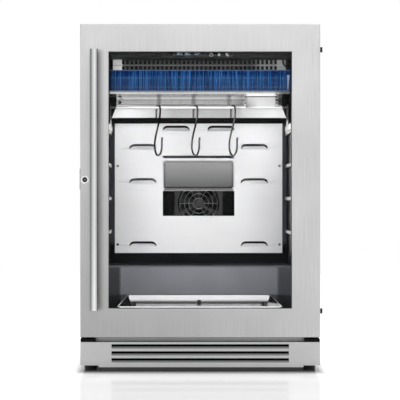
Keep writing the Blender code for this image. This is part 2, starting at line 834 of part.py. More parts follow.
def build_duct():
    columns = {-duct_half, duct_half}
    for x in (outer_louvre_x, inner_louvre_x):
        for side in (-1, 1):
            columns.update(louvre_columns(side * x))
    edges = (fan_window_half, fan_window_half - fan_bulge_slope)
    columns.update(side * edge for edge in edges for side in (-1, 1))
    bulge_low, bulge_high = (up_the_duct(share) for share in fan_bulge_shares)
    window = [up_the_duct(share) for share in fan_window_shares]
    slot = [up_the_duct(share) for share in fan_slot_shares]
    rows = {duct_bottom, duct_top, *window, *slot, bulge_low, bulge_high,
            bulge_low + fan_bulge_slope, bulge_high - fan_bulge_slope}
    folds = [(outer_louvre_x, up_the_duct(share) - louvre_height) for share in outer_louvre_shares]
    folds.append((inner_louvre_x, up_the_duct(inner_louvre_top_share) - louvre_height))
    tongue = louvre_height - louvre_mouth
    for _, fold in folds:
        rows.update((fold, fold + tongue, fold + louvre_height))
    columns, rows = sorted(columns), sorted(rows)
    tiny = seat_gap * weld_share

    def louvre_at(x, z):
        """The fold line, the offset from its middle and the height over it, of the louvre round this place."""
        for middle_x, fold in folds:
            offset = abs(x) - middle_x
            if abs(offset) < louvre_span / 2 and fold - tiny < z < fold + louvre_height + tiny:
                return fold, offset, z - fold
        return None

    def sheet_point(x, z):
        """Where a grid point lies: louvres are warped to their arch and pressed in, the fan's face stands out."""
        found = louvre_at(x, z)
        if found:
            fold, offset, up = found
            left = arch_share(offset)
            if up < tiny:
                return (x, duct_front, z)
            if up > tongue + tiny:
                return (x, duct_front, fold + louvre_height * left)
            top = max(louvre_height * left - louvre_mouth, tongue * louvre_tongue_share)
            return (x, duct_front + louvre_press * top / tongue, fold + top)
        inside_x = fan_window_half - abs(x)
        inside_z = min(z - bulge_low, bulge_high - z)
        if inside_x > 0 and inside_z > 0:
            rise = min(1, inside_x / fan_bulge_slope, inside_z / fan_bulge_slope)
            return (x, duct_front - fan_bulge_press * rise, z)
        return (x, duct_front, z)

    def is_open(x, z):
        """Whether the sheet is cut away here: louvre mouths, the fan's window and the slot over it."""
        found = louvre_at(x, z)
        if found:
            return found[2] > tongue
        if abs(x) < fan_window_half:
            return window[0] < z < window[1] or slot[0] < z < slot[1]
        return False

    bm = bmesh.new()
    grid = [[bm.verts.new(sheet_point(x, z)) for x in columns] for z in rows]
    for j in range(len(rows) - 1):
        for i in range(len(columns) - 1):
            x = (columns[i] + columns[i + 1]) / 2
            z = (rows[j] + rows[j + 1]) / 2
            if not is_open(x, z):
                bm.faces.new((grid[j][i], grid[j][i + 1], grid[j + 1][i + 1], grid[j + 1][i]))
    # Side folds back towards the rear wall
    back = chamber_rear - seat_gap
    for i, order in ((0, 1), (-1, -1)):
        for j in range(len(rows) - 1):
            low, high = grid[j][i], grid[j + 1][i]
            if j == 0:
                low_back = bm.verts.new((low.co.x, back, low.co.z))
            high_back = bm.verts.new((high.co.x, back, high.co.z))
            bm.faces.new((low, low_back, high_back, high)[::order])
            low_back = high_back
    bmesh.ops.dissolve_limit(bm, angle_limit=math.radians(0.5), verts=bm.verts, edges=bm.edges)
    loose_verts = [v for v in bm.verts if not v.link_faces]
    bmesh.ops.delete(bm, geom=loose_verts, context="VERTS")
    bmesh.ops.recalc_face_normals(bm, faces=bm.faces)
    mesh = bpy.data.meshes.new("blank")
    bm.to_mesh(mesh)
    bm.free()
    obj = loose(mesh)
    sheet = obj.modifiers.new("sheet", "SOLIDIFY")
    sheet.thickness = stainless_sheet
    sheet.offset = 0
    sheet.use_even_offset = True
    place("duct_panel", evaluated(obj), white_steel_look)


# Evaporator and its fan, behind the duct panel
evaporator_side_gap = 0.058
evaporator_depth = 0.042
evaporator_shares = (0.563, 0.953)
evaporator_fins = 20
duct_fan_half = 0.064
duct_fan_radius = 0.052
duct_fan_hub = 0.017
duct_fan_depth = 0.016
duct_fan_clearance = 0.004
evaporator_half = chamber_half - evaporator_side_gap


def build_evaporator():
    back = chamber_rear - seat_gap
    place("evaporator_coil", finned_coil(-evaporator_half, evaporator_half, back - evaporator_depth,
                                         evaporator_depth, *(up_the_duct(share) for share in evaporator_shares),
                                         evaporator_fins), galvanised_look)
    z = sum(up_the_duct(share) for share in fan_window_shares) / 2
    start = duct_front + stainless_sheet / 2 + seat_gap
    place("evaporator_fan_frame", fan_ring(0, z, duct_fan_half, duct_fan_radius + duct_fan_clearance,
                                           duct_fan_hub, spoke_gap_angle, start, shroud_sheet),
          black_plastic_look)
    rotor_y = start + shroud_sheet + seat_gap
    axis = (0, rotor_y + duct_fan_depth / 2, z)
    carrier("evaporator_fan", axis, "cabinet")
    rotor = fan_rotor(0, rotor_y, z, duct_fan_hub, duct_fan_depth, duct_fan_radius)
    place("evaporator_fan_rotor", rotor, black_plastic_look, "evaporator_fan", axis)


# Head of the chamber: controls, air grille, lamp and the polished ceiling plate
grille_setback = 0.1557        # behind the body's front
grille_side_gap = 0.016
grille_height = 0.056
grille_hole = 0.0064
grille_pitch = 0.01119
grille_margin = 0.025
grille_row_shares = ((0.071, 0.232), (0.323, 0.536))
control_setback = 0.0052
control_height = 0.0315
control_depth = 0.0905
control_slope = 0.025
control_chin = 0.0035
control_glass_left = -0.070
control_glass_right = 0.083
control_glass_rise = 0.004
control_glass_height = 0.0235
control_glass_thickness = 0.002
ceiling_drop_from_top = 0.120
ceiling_side_gap = 0.0115
ceiling_lip_depth = 0.012      # the wide front edge; the plate behind it is narrower
ceiling_step = 0.0110
ceiling_setback = 0.0117
ceiling_lip = 0.006
ceiling_drop = 0.0185
ear_width = 0.040
ear_shares = (0.145, 0.722)
ear_lap = 0.0006
lamp_cover_height = 0.0532
lamp_cover_thickness = 0.0025
lamp_cover_return = 0.012
lamp_radius = 0.008
lamp_end_gap = 0.0665
lamp_setback = 0.0807
lamp_rise = 0.018
lamp_cap = 0.012
lamp_cap_half_depth = 0.011
sensor_side_gap = 0.0354
sensor_width = 0.0743
sensor_height = 0.0333
sensor_setback = 0.0257
sensor_depth = 0.060
sensor_radius = 0.003
rod_to_duct = 0.154
hood_behind_rod = 0.0386

grille_y = body_front + grille_setback
grille_half = chamber_half - grille_side_gap
grille_top = chamber_top - seat_gap
grille_bottom = chamber_top - grille_height
control_front = body_front + control_setback
control_bottom = chamber_top - control_height
control_rear = control_front + control_depth
control_glass_bottom = control_bottom + control_glass_rise
control_glass_top = control_glass_bottom + control_glass_height
ceiling_half = chamber_half - ceiling_side_gap
ceiling_front = body_front + ceiling_setback
ceiling_z = chamber_top - ceiling_drop_from_top
rod_y = duct_front - rod_to_duct
hood_front = rod_y + hood_behind_rod
ceiling_rear = hood_front - 2 * seat_gap
lamp_half = ceiling_half - lamp_end_gap
lamp_y = body_front + lamp_setback
lamp_z = ceiling_z + lamp_rise
sensor_right = ceiling_half - sensor_side_gap
sensor_left = sensor_right - sensor_width
sensor_bottom = ceiling_z - seat_gap - sensor_height
sensor_front = body_front + sensor_setback


def build_head():
    top = grille_top
    columns = int(2 * (grille_half - grille_margin) / grille_pitch) + 1
    first = -grille_pitch * (columns - 1) / 2
    holes = []
    for low, high in grille_row_shares:
        for i in range(columns):
            x = first + i * grille_pitch
            holes.append(block(x - grille_hole / 2, grille_bottom + grille_height * low,
                               x + grille_hole / 2, grille_bottom + grille_height * high))
    outline = block(-grille_half, grille_bottom, grille_half, top)
    place("air_grille", plate("XZ", outline, grille_y, grille_y + stainless_sheet, holes), steel_look)

    half = chamber_half - seat_gap
    profile = [
        (control_front, top),
        (control_front, control_bottom + control_chin),
        (control_front + control_chin, control_bottom),
        (control_rear - control_slope, control_bottom),
        (control_rear, top),
    ]
    place("control_housing", plate("YZ", profile, -half, half), black_plastic_look)
    place("control_glass", boxes((
        (control_glass_left, control_front - seat_gap - control_glass_thickness, control_glass_bottom),
        (control_glass_right, control_front - seat_gap, control_glass_top),
    )), ((0.01, 0.01, 0.012), 0.05, 0.0))

    sheet = stainless_sheet
    lip_back = ceiling_front + ceiling_lip_depth
    lip = plate("YZ", [
        (ceiling_front, ceiling_z + ceiling_lip),
        (ceiling_front, ceiling_z),
        (lip_back, ceiling_z),
        (lip_back, ceiling_z + sheet),
        (ceiling_front + sheet, ceiling_z + sheet),
        (ceiling_front + sheet, ceiling_z + ceiling_lip),
    ], -ceiling_half, ceiling_half)
    main_half = ceiling_half - ceiling_step
    main = plate("YZ", [
        (lip_back - sheet, ceiling_z),
        (ceiling_rear - sheet, ceiling_z),
        (ceiling_rear - sheet, ceiling_z - ceiling_drop),
        (ceiling_rear, ceiling_z - ceiling_drop),
        (ceiling_rear, ceiling_z + sheet),
        (lip_back - sheet, ceiling_z + sheet),
    ], -main_half, main_half)
    ears = []
    for side in (-1, 1):
        for share in ear_shares:
            y = ceiling_front + (ceiling_rear - ceiling_front) * share
            near, far = sorted((side * (main_half - ear_width / 2), side * half))
            ears.append(boxes(((near, y, ceiling_z + ear_lap), (far, y + ear_width, ceiling_z + sheet + ear_lap))))
    place("ceiling_plate", combine(lip, [main] + ears), polished_look)

    cover_low = ceiling_z + ceiling_lip + seat_gap
    cover_high = cover_low + lamp_cover_height
    cover = [
        (ceiling_front, cover_low),
        (ceiling_front + lamp_cover_thickness, cover_low),
        (ceiling_front + lamp_cover_thickness, cover_high - lamp_cover_thickness),
        (ceiling_front + lamp_cover_return, cover_high - lamp_cover_thickness),
        (ceiling_front + lamp_cover_return, cover_high),
        (ceiling_front, cover_high),
    ]
    place("lamp_cover", plate("YZ", cover, -ceiling_half, ceiling_half), ((0.03, 0.09, 0.25), 0.2, 0.2))
    ends = lamp_half + lamp_cap / 2
    lamp = rod((-ends, lamp_y, lamp_z), (ends, lamp_y, lamp_z), lamp_radius, 14)
    foot_low = ceiling_z + sheet + seat_gap
    holders = []
    for side in (-1, 1):
        near, far = sorted((side * lamp_half, side * (lamp_half + lamp_cap)))
        holders.append(boxes(((near, lamp_y - lamp_cap_half_depth, foot_low),
                              (far, lamp_y + lamp_cap_half_depth, lamp_z + lamp_cap_half_depth))))
    place("uv_lamp", combine(lamp, holders), ((0.55, 0.65, 0.95), 0.2, 0.0))
    sensor = rounded_box((sensor_left, sensor_front, sensor_bottom),
                         (sensor_right, sensor_front + sensor_depth, ceiling_z - seat_gap), sensor_radius)
    place("sensor_box", sensor, ((0.86, 0.86, 0.86), 0.4, 0.0))


# Shelf rails
rail_below_ceiling = 0.0877
rail_above_hump = 0.0945
rail_shares = (1, 0.669, 0.3355, 0)
rail_height = 0.0077
rail_width = 0.008
rail_setback = 0.0077
rail_to_duct = 0.006
rail_lip = 0.0018

rail_inner = chamber_half - rail_width
rail_front = body_front + rail_setback
rail_rear = duct_front - rail_to_duct
rail_low = hump_top + rail_above_hump
rail_high = ceiling_z - rail_below_ceiling
rail_heights = [rail_low + (rail_high - rail_low) * share for share in rail_shares]


def build_rails():
    for side, sign in (("left", -1), ("right", 1)):
        for number, top in enumerate(rail_heights, 1):
            wall = chamber_half - seat_gap
            # The rail's section: a flat runner with a small upturned lip along its inner edge
            low = top - rail_height
            profile = [(sign * wall, top - rail_height / 2), (sign * wall, low), (sign * rail_inner, low),
                       (sign * rail_inner, top), (sign * (rail_inner + rail_lip), top),
                       (sign * (rail_inner + rail_lip), top - rail_height / 2)]
            rail = plate("XZ", profile, rail_front, rail_rear)
            place(f"shelf_rail_{side}_{number}", rail, ((0.80, 0.78, 0.76), 0.35, 0.3))


# Hanging rack
rack_setback = 0.0457
rack_to_duct = 0.024
runner_sheet = 0.0012
runner_foot = 0.0045           # the foot that slides on the top rail
runner_height = 0.014
rod_below_ceiling = 0.0275
rod_radius = 0.003
upstand_half = 0.014
hood_clearance = 0.001         # under the ceiling plate's rear edge
hood_height = 0.033
hood_lip = 0.0065
hood_taper = 0.0123
hood_side_gap = 0.0112
hood_tab = 0.012

rack_front = body_front + rack_setback
rack_rear = duct_front - rack_to_duct
rod_z = ceiling_z - rod_below_ceiling
hood_top = ceiling_z - ceiling_drop - hood_clearance
hood_bottom = hood_top - hood_height
hood_bottom_half = chamber_half - hood_side_gap
hood_top_half = hood_bottom_half - hood_taper


def build_rack():
    carrier("hanging_rack", (0, rod_y, rod_z), "cabinet")
    floor = rail_heights[0] + seat_gap
    foot_top = floor + runner_sheet
    for side, sign in (("left", -1), ("right", 1)):
        outer = rail_inner + runner_foot
        inner = rail_inner - seat_gap - runner_sheet
        side_profile = [
            (rack_front, floor), (rack_rear, floor), (rack_rear, floor + runner_height),
            (hood_front + upstand_half * 2, floor + runner_height),
            (hood_front + upstand_half, hood_bottom), (hood_front + upstand_half, rod_z + upstand_half / 2),
            (rod_y - upstand_half, rod_z + upstand_half / 2),
            (rod_y - upstand_half, hood_bottom), (rod_y - upstand_half * 2, floor + runner_height),
            (rack_front, floor + runner_height),
        ]
        hole = circle(rod_y, rod_z, rod_radius + seat_gap, 12)
        start, end = sorted((sign * inner, sign * (inner + runner_sheet)))
        web = plate("YZ", side_profile, start, end, [hole])
        foot = boxes((
            (min(sign * inner, sign * outer), rack_front, floor),
            (max(sign * inner, sign * outer), rack_rear, foot_top),
        ))
        place(f"rack_runner_{side}", combine(web, [foot]), white_steel_look, "hanging_rack")
    reach = rail_inner - seat_gap - runner_sheet / 2
    place("hanging_rod", rod((-reach, rod_y, rod_z), (reach, rod_y, rod_z), rod_radius, 12), polished_look,
          "hanging_rack", smooth=round_edge)
    inner = rail_inner - seat_gap * 2 - runner_sheet
    face = [(-hood_bottom_half, hood_bottom), (hood_bottom_half, hood_bottom), (hood_top_half, hood_top),
            (-hood_top_half, hood_top)]
    sheet = plate("XZ", face, hood_front, hood_front + stainless_sheet)
    lip = boxes(((-hood_top_half, hood_front - hood_lip, hood_top - stainless_sheet),
                 (hood_top_half, hood_front + stainless_sheet, hood_top)))
    tabs = [
        boxes((
            (min(side * inner, side * (hood_bottom_half - hood_tab)), hood_front, hood_bottom),
            (max(side * inner, side * (hood_bottom_half - hood_tab)), hood_front + hood_tab,
             hood_bottom + stainless_sheet),
        ))
        for side in (-1, 1)
    ]
    place("deflector_hood", combine(sheet, [lip] + tabs), polished_look, "hanging_rack")


# Meat hooks: S-shaped wires on the rod
hook_shares = {"left": -0.4454, "centre": -0.0399, "right": 0.3697}
hook_wire = 0.0025
hook_radius = 0.0135
hook_point_radius = 0.0245
hook_loop_tip = 0.0185
hook_tip = 0.011
hook_shank = 0.092
hook_turn = 23.0
hook_steps = 9
hook_flare_share = 1.08


def hook_points():
    """The wire's centre line in its own plane: u across, v up, from the upper tip to the lower point."""
    top = rod_radius + seat_gap + hook_wire - hook_radius
    bottom = top - hook_shank
    upper = arc((0, top), hook_radius, 180, 0, hook_steps)
    lower = arc((0, bottom), hook_point_radius, 180, 360, hook_steps)
    tip = [(-hook_radius, top - hook_loop_tip), (-hook_radius, top - hook_loop_tip / 2)]
    point = [(hook_point_radius, bottom + hook_tip),
             (hook_point_radius * hook_flare_share, bottom + hook_tip * 2)]
    shank = []
    for i in range(1, hook_steps):
        share = i / hook_steps
        ease = (1 - math.cos(math.pi * share)) / 2
        across = hook_radius - (hook_radius + hook_point_radius) * ease
        shank.append((across, top + (bottom - top) * share))
    return tip + upper + shank + lower + point


def build_hooks():
    turn = math.radians(90 - hook_turn)
    for name, share in hook_shares.items():
        x = chamber_half * share
        carrier(f"hook_{name}", (x, rod_y, rod_z), "hanging_rack")
        wire = [(x + u * math.cos(turn), rod_y - u * math.sin(turn), rod_z + v) for u, v in hook_points()]
        place(f"meat_hook_{name}", tube(wire, hook_wire, 1), polished_look, f"hook_{name}",
              (x, rod_y, rod_z), round_edge)


# Drip tray
tray_setback = 0.0577
tray_rear_gap = 0.0145
tray_front_height = 0.0155
tray_rear_height = 0.0377
tray_front_side = 0.029
tray_rear_side = 0.018
tray_floor_side = 0.032
tray_front_slope = 0.022
tray_rear_slope = 0.0145
tray_sheet = 0.001
grid_side_gap = 0.005
grid_end_gap = 0.0075
grid_lift = 0.0150
grid_slot_half = 0.011
grid_slot_height = 0.004
grid_column_pitch = 0.0303
grid_row_pitch = 0.0136
grid_leg = 0.004

tray_front = body_front + tray_setback
tray_rear = hump_front - tray_rear_gap
tray_front_z = chamber_bottom + tray_front_height
tray_rear_z = chamber_bottom + tray_rear_height
tray_front_half = chamber_half - tray_front_side
tray_rear_half = hump_half - tray_rear_side
tray_floor_front = tray_front + tray_front_slope
tray_floor_rear = tray_rear - tray_rear_slope
tray_floor_half = hump_half - tray_floor_side
grid_half = tray_floor_half - grid_side_gap
grid_front = tray_floor_front + grid_end_gap
grid_rear = tray_floor_rear - grid_end_gap


def build_tray():
    carrier("tray", (0, tray_front, chamber_bottom), "cabinet")
    floor = chamber_bottom + seat_gap

    def bowl(lift, inset):
        """The tray's rim and floor as one closed solid, drawn in by the sheet."""
        bm = bmesh.new()
        base = [
            bm.verts.new((x * (tray_floor_half - inset), y, floor + lift))
            for x, y in ((-1, tray_floor_front + inset), (1, tray_floor_front + inset),
                         (1, tray_floor_rear - inset), (-1, tray_floor_rear - inset))
        ]
        over = cut_overrun if lift else 0
        rim = [
            bm.verts.new((x * (half - inset), y, z + over))
            for x, half, y, z in ((-1, tray_front_half, tray_front + inset, tray_front_z),
                                  (1, tray_front_half, tray_front + inset, tray_front_z),
                                  (1, tray_rear_half, tray_rear - inset, tray_rear_z),
                                  (-1, tray_rear_half, tray_rear - inset, tray_rear_z))
        ]
        for i in range(4):
            j = (i + 1) % 4
            bm.faces.new((base[i], base[j], rim[j], rim[i]))
        bm.faces.new(base)
        bm.faces.new(rim)
        bmesh.ops.triangulate(bm, faces=bm.faces)
        return to_mesh(bm)

    tray = combine(bowl(0, 0), [bowl(tray_sheet, tray_sheet)], "DIFFERENCE")
    place("drip_tray", tray, polished_look, "tray")
    low = floor + tray_sheet + seat_gap
    holes = []
    columns = int(2 * grid_half / grid_column_pitch) - 1
    rows = int((grid_rear - grid_front) / grid_row_pitch) - 1
    step_x = 2 * grid_half / (columns + 1)
    step_y = (grid_rear - grid_front) / (rows + 1)
    for i in range(columns):
        for j in range(rows):
            x = -grid_half + step_x * (i + 1)
            y = grid_front + step_y * (j + 1)
            holes.append((
                (x - grid_slot_half, y - grid_slot_height / 2, low),
                (x + grid_slot_half, y + grid_slot_height / 2, low + grid_lift + cut_overrun),
            ))
    blank = boxes(((-grid_half, grid_front, low + grid_lift), (grid_half, grid_rear, low + grid_lift + tray_sheet)))
    sheet = combine(blank, [boxes(*holes)], "DIFFERENCE")
    legs = boxes(*(
        ((x - grid_leg, y - grid_leg, low), (x + grid_leg, y + grid_leg, low + grid_lift + tray_sheet / 2))
        for x in (-grid_half + grid_leg * 2, grid_half - grid_leg * 2)
        for y in (grid_front + grid_leg * 2, grid_rear - grid_leg * 2)
    ))
    place("drip_tray_grid", combine(sheet, [legs]), polished_look, "tray")


def build_door():
    sheet = door_sheet
    outer = (door_half, door_bottom, cabinet_height)
    window = (window_half, window_bottom, window_top)
    radius = skin_edge_radius
    bend = radius * (1 - math.sqrt(0.5))
    rings = [
        (*rectangle(*outer), door_skin_depth),
        (*rectangle(*outer), radius),
        (*rectangle(*outer, -bend), bend),
        (*rectangle(*outer, -radius), 0),
        (*rectangle(*window), 0),
        (*rectangle(*window), window_return),
        (*rectangle(*window, sheet), window_return),
        (*rectangle(*window, sheet), sheet),
        (*rectangle(*outer, -radius), sheet),
        (*rectangle(*outer, -sheet), radius),
        (*rectangle(*outer, -sheet), door_skin_depth),
    ]
    skin = place("door_skin", frame_loft(rings), steel_look, "door")
    pane_front = window_return + seat_gap
    inner_front = pane_front + pane_thickness + spacer_depth + 2 * seat_gap
    inner_rear = inner_front + pane_thickness
    inset = -sheet - seat_gap
    step = inner_rear + seat_gap
    rebate = pane_overlap + seat_gap
    frame_rings = [
        (*rectangle(*outer, inset), frame_back),
        (*rectangle(*outer, inset), radius + seat_gap),
        (*rectangle(*outer, inset - radius), sheet + seat_gap),
        (*rectangle(*window, rebate), sheet + seat_gap),
        (*rectangle(*window, rebate), step),
        (*rectangle(*window), step),
        (*rectangle(*window), frame_back),
    ]
    frame = place("door_inner_frame", frame_loft(frame_rings), dark_plastic_look, "door")
    for name, front in (("glazing_outer_pane", pane_front), ("glazing_inner_pane", inner_front)):
        half, low, high = rectangle(*window, pane_overlap)
        place(name, boxes(((-half, front, low), (half, front + pane_thickness, high))), glass_look, "door")
    spacer_front = pane_front + pane_thickness + seat_gap
    edge = pane_overlap - spacer_inset
    place("glazing_spacer", frame_loft([
        (*rectangle(*window, edge), spacer_front),
        (*rectangle(*window, edge - spacer_width), spacer_front),
        (*rectangle(*window, edge - spacer_width), spacer_front + spacer_depth),
        (*rectangle(*window, edge), spacer_front + spacer_depth),
    ]), ((0.02, 0.02, 0.022), 0.5, 0.0), "door")
    front = frame_back + seat_gap
    waist = front + gasket_depth * gasket_waist_share
    inner = gasket_margin - gasket_width
    place("door_gasket", frame_loft([
        (*rectangle(*window, gasket_margin), front),
        (*rectangle(*window, inner), front),
        (*rectangle(*window, inner + gasket_waist), waist),
        (*rectangle(*window, inner), gasket_back),
        (*rectangle(*window, gasket_margin), gasket_back),
        (*rectangle(*window, gasket_margin - gasket_waist), waist),
    ]), rubber_look, "door")
    return skin, frame


def build_handle():
    y = -handle_stand
    bar = rod((handle_x, y, handle_bottom), (handle_x, y, handle_top), handle_radius, 20)
    posts = [
        rod((handle_x, y, z), (handle_x, -seat_gap, z), handle_post_radius, 12)
        for z in (handle_bottom + handle_post_inset, handle_top - handle_post_inset)
    ]
    place("door_handle", combine(bar, posts), steel_look, "door", smooth=round_edge)


def build_hinges(skin, frame):
    outer = casing_half - hinge_side_clearance
    back_front = body_front - seat_gap - hinge_back_depth
    leaf_top = hinge_leaf_bottom + hinge_leaf_thickness
    leaf_bounds = ((hinge_leaf_inner, hinge_leaf_front, hinge_leaf_bottom), (outer, body_front - seat_gap, leaf_top))
    upright = ((hinge_back_inner, back_front, hinge_leaf_bottom),
               (outer, body_front - seat_gap, hinge_leaf_bottom + hinge_back_height))
    mirrored = [tuple((-x, y, z) for x, y, z in pair) for pair in (leaf_bounds, upright)]
    flipped = [((high[0], low[1], low[2]), (low[0], high[1], high[2])) for low, high in mirrored]
    pin = rod((hinge_x, hinge_y, leaf_top - hinge_leaf_thickness / 2),
              (hinge_x, hinge_y, door_bottom + lower_pin_reach), hinge_pin)
    boss = rod((hinge_x, hinge_y, leaf_top - hinge_leaf_thickness / 2),
               (hinge_x, hinge_y, door_bottom - seat_gap), hinge_boss)
    place("lower_hinge_plate", combine(boxes(leaf_bounds), [boxes(upright), boss, pin]), black_steel_look)
    rest = rod((-hinge_x, hinge_y, leaf_top - hinge_leaf_thickness / 2),
               (-hinge_x, hinge_y, door_bottom - seat_gap), hinge_boss)
    place("left_rest_plate", combine(boxes(flipped[0]), [boxes(flipped[1]), rest]), black_steel_look)

    tongue_top = cabinet_height - upper_leaf_drop
    tongue_low = tongue_top - upper_leaf_thickness
    tongue = arc((hinge_x, hinge_y), upper_tongue, 180, 360, 10) + [
        (hinge_x + upper_tongue, body_front - seat_gap), (hinge_x - upper_tongue, body_front - seat_gap)]
    upper_back = boxes(((hinge_x - upper_tongue, back_front, tongue_top - hinge_back_height),
                        (hinge_x + upper_tongue, body_front - seat_gap, tongue_top - upper_leaf_thickness / 2)))
    upper_pin = rod((hinge_x, hinge_y, tongue_top - upper_leaf_thickness / 2),
                    (hinge_x, hinge_y, tongue_low - upper_pin_reach), hinge_pin)
    place("upper_hinge_bracket", combine(plate("XY", tongue, tongue_low, tongue_top), [upper_back, upper_pin]),
          black_steel_look)

    bore = hinge_pin + pin_clearance
    lower_bore = rod((hinge_x, hinge_y, door_bottom - cut_overrun),
                     (hinge_x, hinge_y, door_bottom + lower_pin_reach + pin_clearance), bore)
    notch_floor = tongue_low - notch_clearance
    upper_bore = rod((hinge_x, hinge_y, notch_floor + cut_overrun),
                     (hinge_x, hinge_y, tongue_low - upper_pin_reach - pin_clearance), bore)
    notch = boxes(((hinge_x - upper_tongue - notch_clearance, door_sheet + seat_gap, notch_floor),
                   (door_half + cut_overrun, frame_back + cut_overrun, cabinet_height + cut_overrun)))
    for piece in (skin, frame):
        cut(piece, lower_bore.copy(), "door_cuts")
        cut(piece, notch.copy(), "door_cuts")
    cut(frame, upper_bore, "door_cuts")


def build_lock(skin, frame):
    place("lock_ring", turned([
        (lock_radius + pin_clearance, lock_ring_thickness),
        (lock_ring_radius - lock_ring_thickness / 2, lock_ring_thickness),
        (lock_ring_radius, lock_ring_thickness / 2),
        (lock_ring_radius, 0),
        (lock_radius + pin_clearance, 0),
        (lock_radius + pin_clearance, lock_ring_thickness),
    ], (lock_x, -seat_gap, lock_z), (0, -1, 0)), polished_look, "door", smooth=round_edge)
    axis = (lock_x, 0, lock_z)
    cylinder = place("lock_cylinder", rod((lock_x, -lock_ring_thickness * 0.75, lock_z),
                                          (lock_x, lock_rear, lock_z), lock_radius, 24),
                     polished_look, "lock", axis, round_edge)
    cut(cylinder, boxes((
        (lock_x - lock_slot_width / 2, -lock_ring_thickness - cut_overrun, lock_z - lock_slot_height / 2),
        (lock_x + lock_slot_width / 2, lock_slot_depth, lock_z + lock_slot_height / 2),
    )), "lock_cuts")
    cam_front = lock_rear + seat_gap
    hub = rod((lock_x, cam_front, lock_z), (lock_x, cam_front + cam_thickness, lock_z), lock_radius, 16)
    arm = boxes(((lock_x - cam_half, cam_front, lock_z),
                 (lock_x + cam_half, cam_front + cam_thickness, lock_z + cam_reach)))
    place("lock_cam", combine(hub, [arm]), galvanised_look, "lock", axis)

    bore = rod((lock_x, -cut_overrun, lock_z), (lock_x, cam_front, lock_z), lock_radius + pin_clearance, 24)
    swing = math.hypot(cam_reach, cam_half) + cam_clearance
    pocket_front = cam_front - seat_gap - pin_clearance
    pocket_rear = cam_front + cam_thickness + cam_clearance
    slot_low = lock_z - lock_radius - cam_clearance
    slot_high = lock_z + swing
    pocket = boxes(((-door_half - cut_overrun, pocket_front, slot_low),
                    (lock_x + lock_radius + cam_clearance, pocket_rear, slot_high)))
    cut(skin, bore.copy(), "door_cuts")
    cut(frame, bore, "door_cuts")
    cut(skin, pocket.copy(), "door_cuts")
    cut(frame, pocket, "door_cuts")
    profile = [
        (-left_reach, keeper_front), (-left_reach, keeper_back), (-casing_half - seat_gap, keeper_back),
        (-casing_half - seat_gap, keeper_seat), (-left_reach + keeper_sheet, keeper_seat),
        (-left_reach + keeper_sheet, keeper_front),
    ]
    keeper = place("lock_keeper", plate("XY", profile, keeper_bottom, keeper_top), black_steel_look)
    cut(keeper, boxes(((-left_reach - cut_overrun, pocket_front, slot_low),
                       (-casing_half, pocket_rear, slot_high))))


def build_spacers():
    start = casing_half + seat_gap
    heights = {"upper": cabinet_height - spacer_from_top, "lower": door_bottom + spacer_from_door_bottom}
    for name, z in heights.items():
        lobes = [
            rod((start, spacer_y, z + side * spacer_peg_pitch / 2),
                (start + spacer_reach, spacer_y, z + side * spacer_peg_pitch / 2), spacer_peg_radius, 16)
            for side in (-1, 1)
        ]
        place(f"side_spacer_{name}", combine(lobes[0], [lobes[1]]), rubber_look)


build_casing()
build_liner()
build_foam()
build_base()
build_plinth()
build_feet()
build_rear()
build_machine()
build_duct()
build_evaporator()
build_head()
build_rails()
build_rack()
build_hooks()
build_tray()
carrier("door_cuts", (0, 0, 0), "door")
carrier("lock_cuts", (0, 0, 0), "lock")
door_skin, door_frame = build_door()
build_handle()
build_hinges(door_skin, door_frame)
build_lock(door_skin, door_frame)
build_spacers()
bpy.context.view_layer.update()

for name in ("door", "lock", "hanging_rack", "hook_left", "hook_centre", "hook_right", "tray",
             "condenser_fan", "evaporator_fan"):
    print("axis point of", name, [round(value, 5) for value in empties[name].matrix_world.translation])
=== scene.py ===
import math

import bmesh
import bpy
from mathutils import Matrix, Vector


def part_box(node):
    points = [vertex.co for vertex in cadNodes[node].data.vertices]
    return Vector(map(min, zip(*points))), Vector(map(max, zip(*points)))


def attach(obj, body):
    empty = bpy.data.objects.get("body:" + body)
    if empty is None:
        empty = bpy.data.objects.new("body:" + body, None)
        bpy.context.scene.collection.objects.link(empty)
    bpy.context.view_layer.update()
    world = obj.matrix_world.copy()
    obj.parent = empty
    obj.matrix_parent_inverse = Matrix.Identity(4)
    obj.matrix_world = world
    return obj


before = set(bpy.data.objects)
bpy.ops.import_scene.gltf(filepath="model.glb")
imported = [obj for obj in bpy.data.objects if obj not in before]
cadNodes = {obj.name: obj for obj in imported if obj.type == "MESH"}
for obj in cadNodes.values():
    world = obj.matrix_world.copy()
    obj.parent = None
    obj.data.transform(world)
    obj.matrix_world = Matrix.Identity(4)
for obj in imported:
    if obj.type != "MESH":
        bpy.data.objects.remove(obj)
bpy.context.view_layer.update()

doorLow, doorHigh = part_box("door_skin")
bodyLow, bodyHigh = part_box("outer_casing")
centreX = (bodyLow.x + bodyHigh.x) / 2
doorFace = doorLow.y


def spot(x, y, z):
    # A place measured from the cabinet's middle, the door's face and the floor
    return Vector((centreX + x, doorFace + y, z))


def addObject(name, data):
    made = bpy.data.objects.new(name, data)
    bpy.context.scene.collection.objects.link(made)
    return made


# Camera: far back, level, a little left of the middle; the picture is shifted to frame the cabinet
view = {
    "sideways": -0.060, "distance": 5.8, "eyeHeight": 0.433, "lens": 210.6, "shiftX": 0.06,
    "shiftY": -0.0074,
}

cameraData = bpy.data.cameras.new("camera")
cameraData.lens = view["lens"]
cameraData.shift_x = view["shiftX"]
cameraData.shift_y = view["shiftY"]
cameraData.clip_end = 100
camera = addObject("camera", cameraData)
camera.location = spot(view["sideways"], -view["distance"], view["eyeHeight"])
camera.rotation_euler = (math.radians(90), 0, 0)
bpy.context.scene.camera = camera
bpy.context.scene.view_settings.view_transform = "Standard"
print("camera placed")


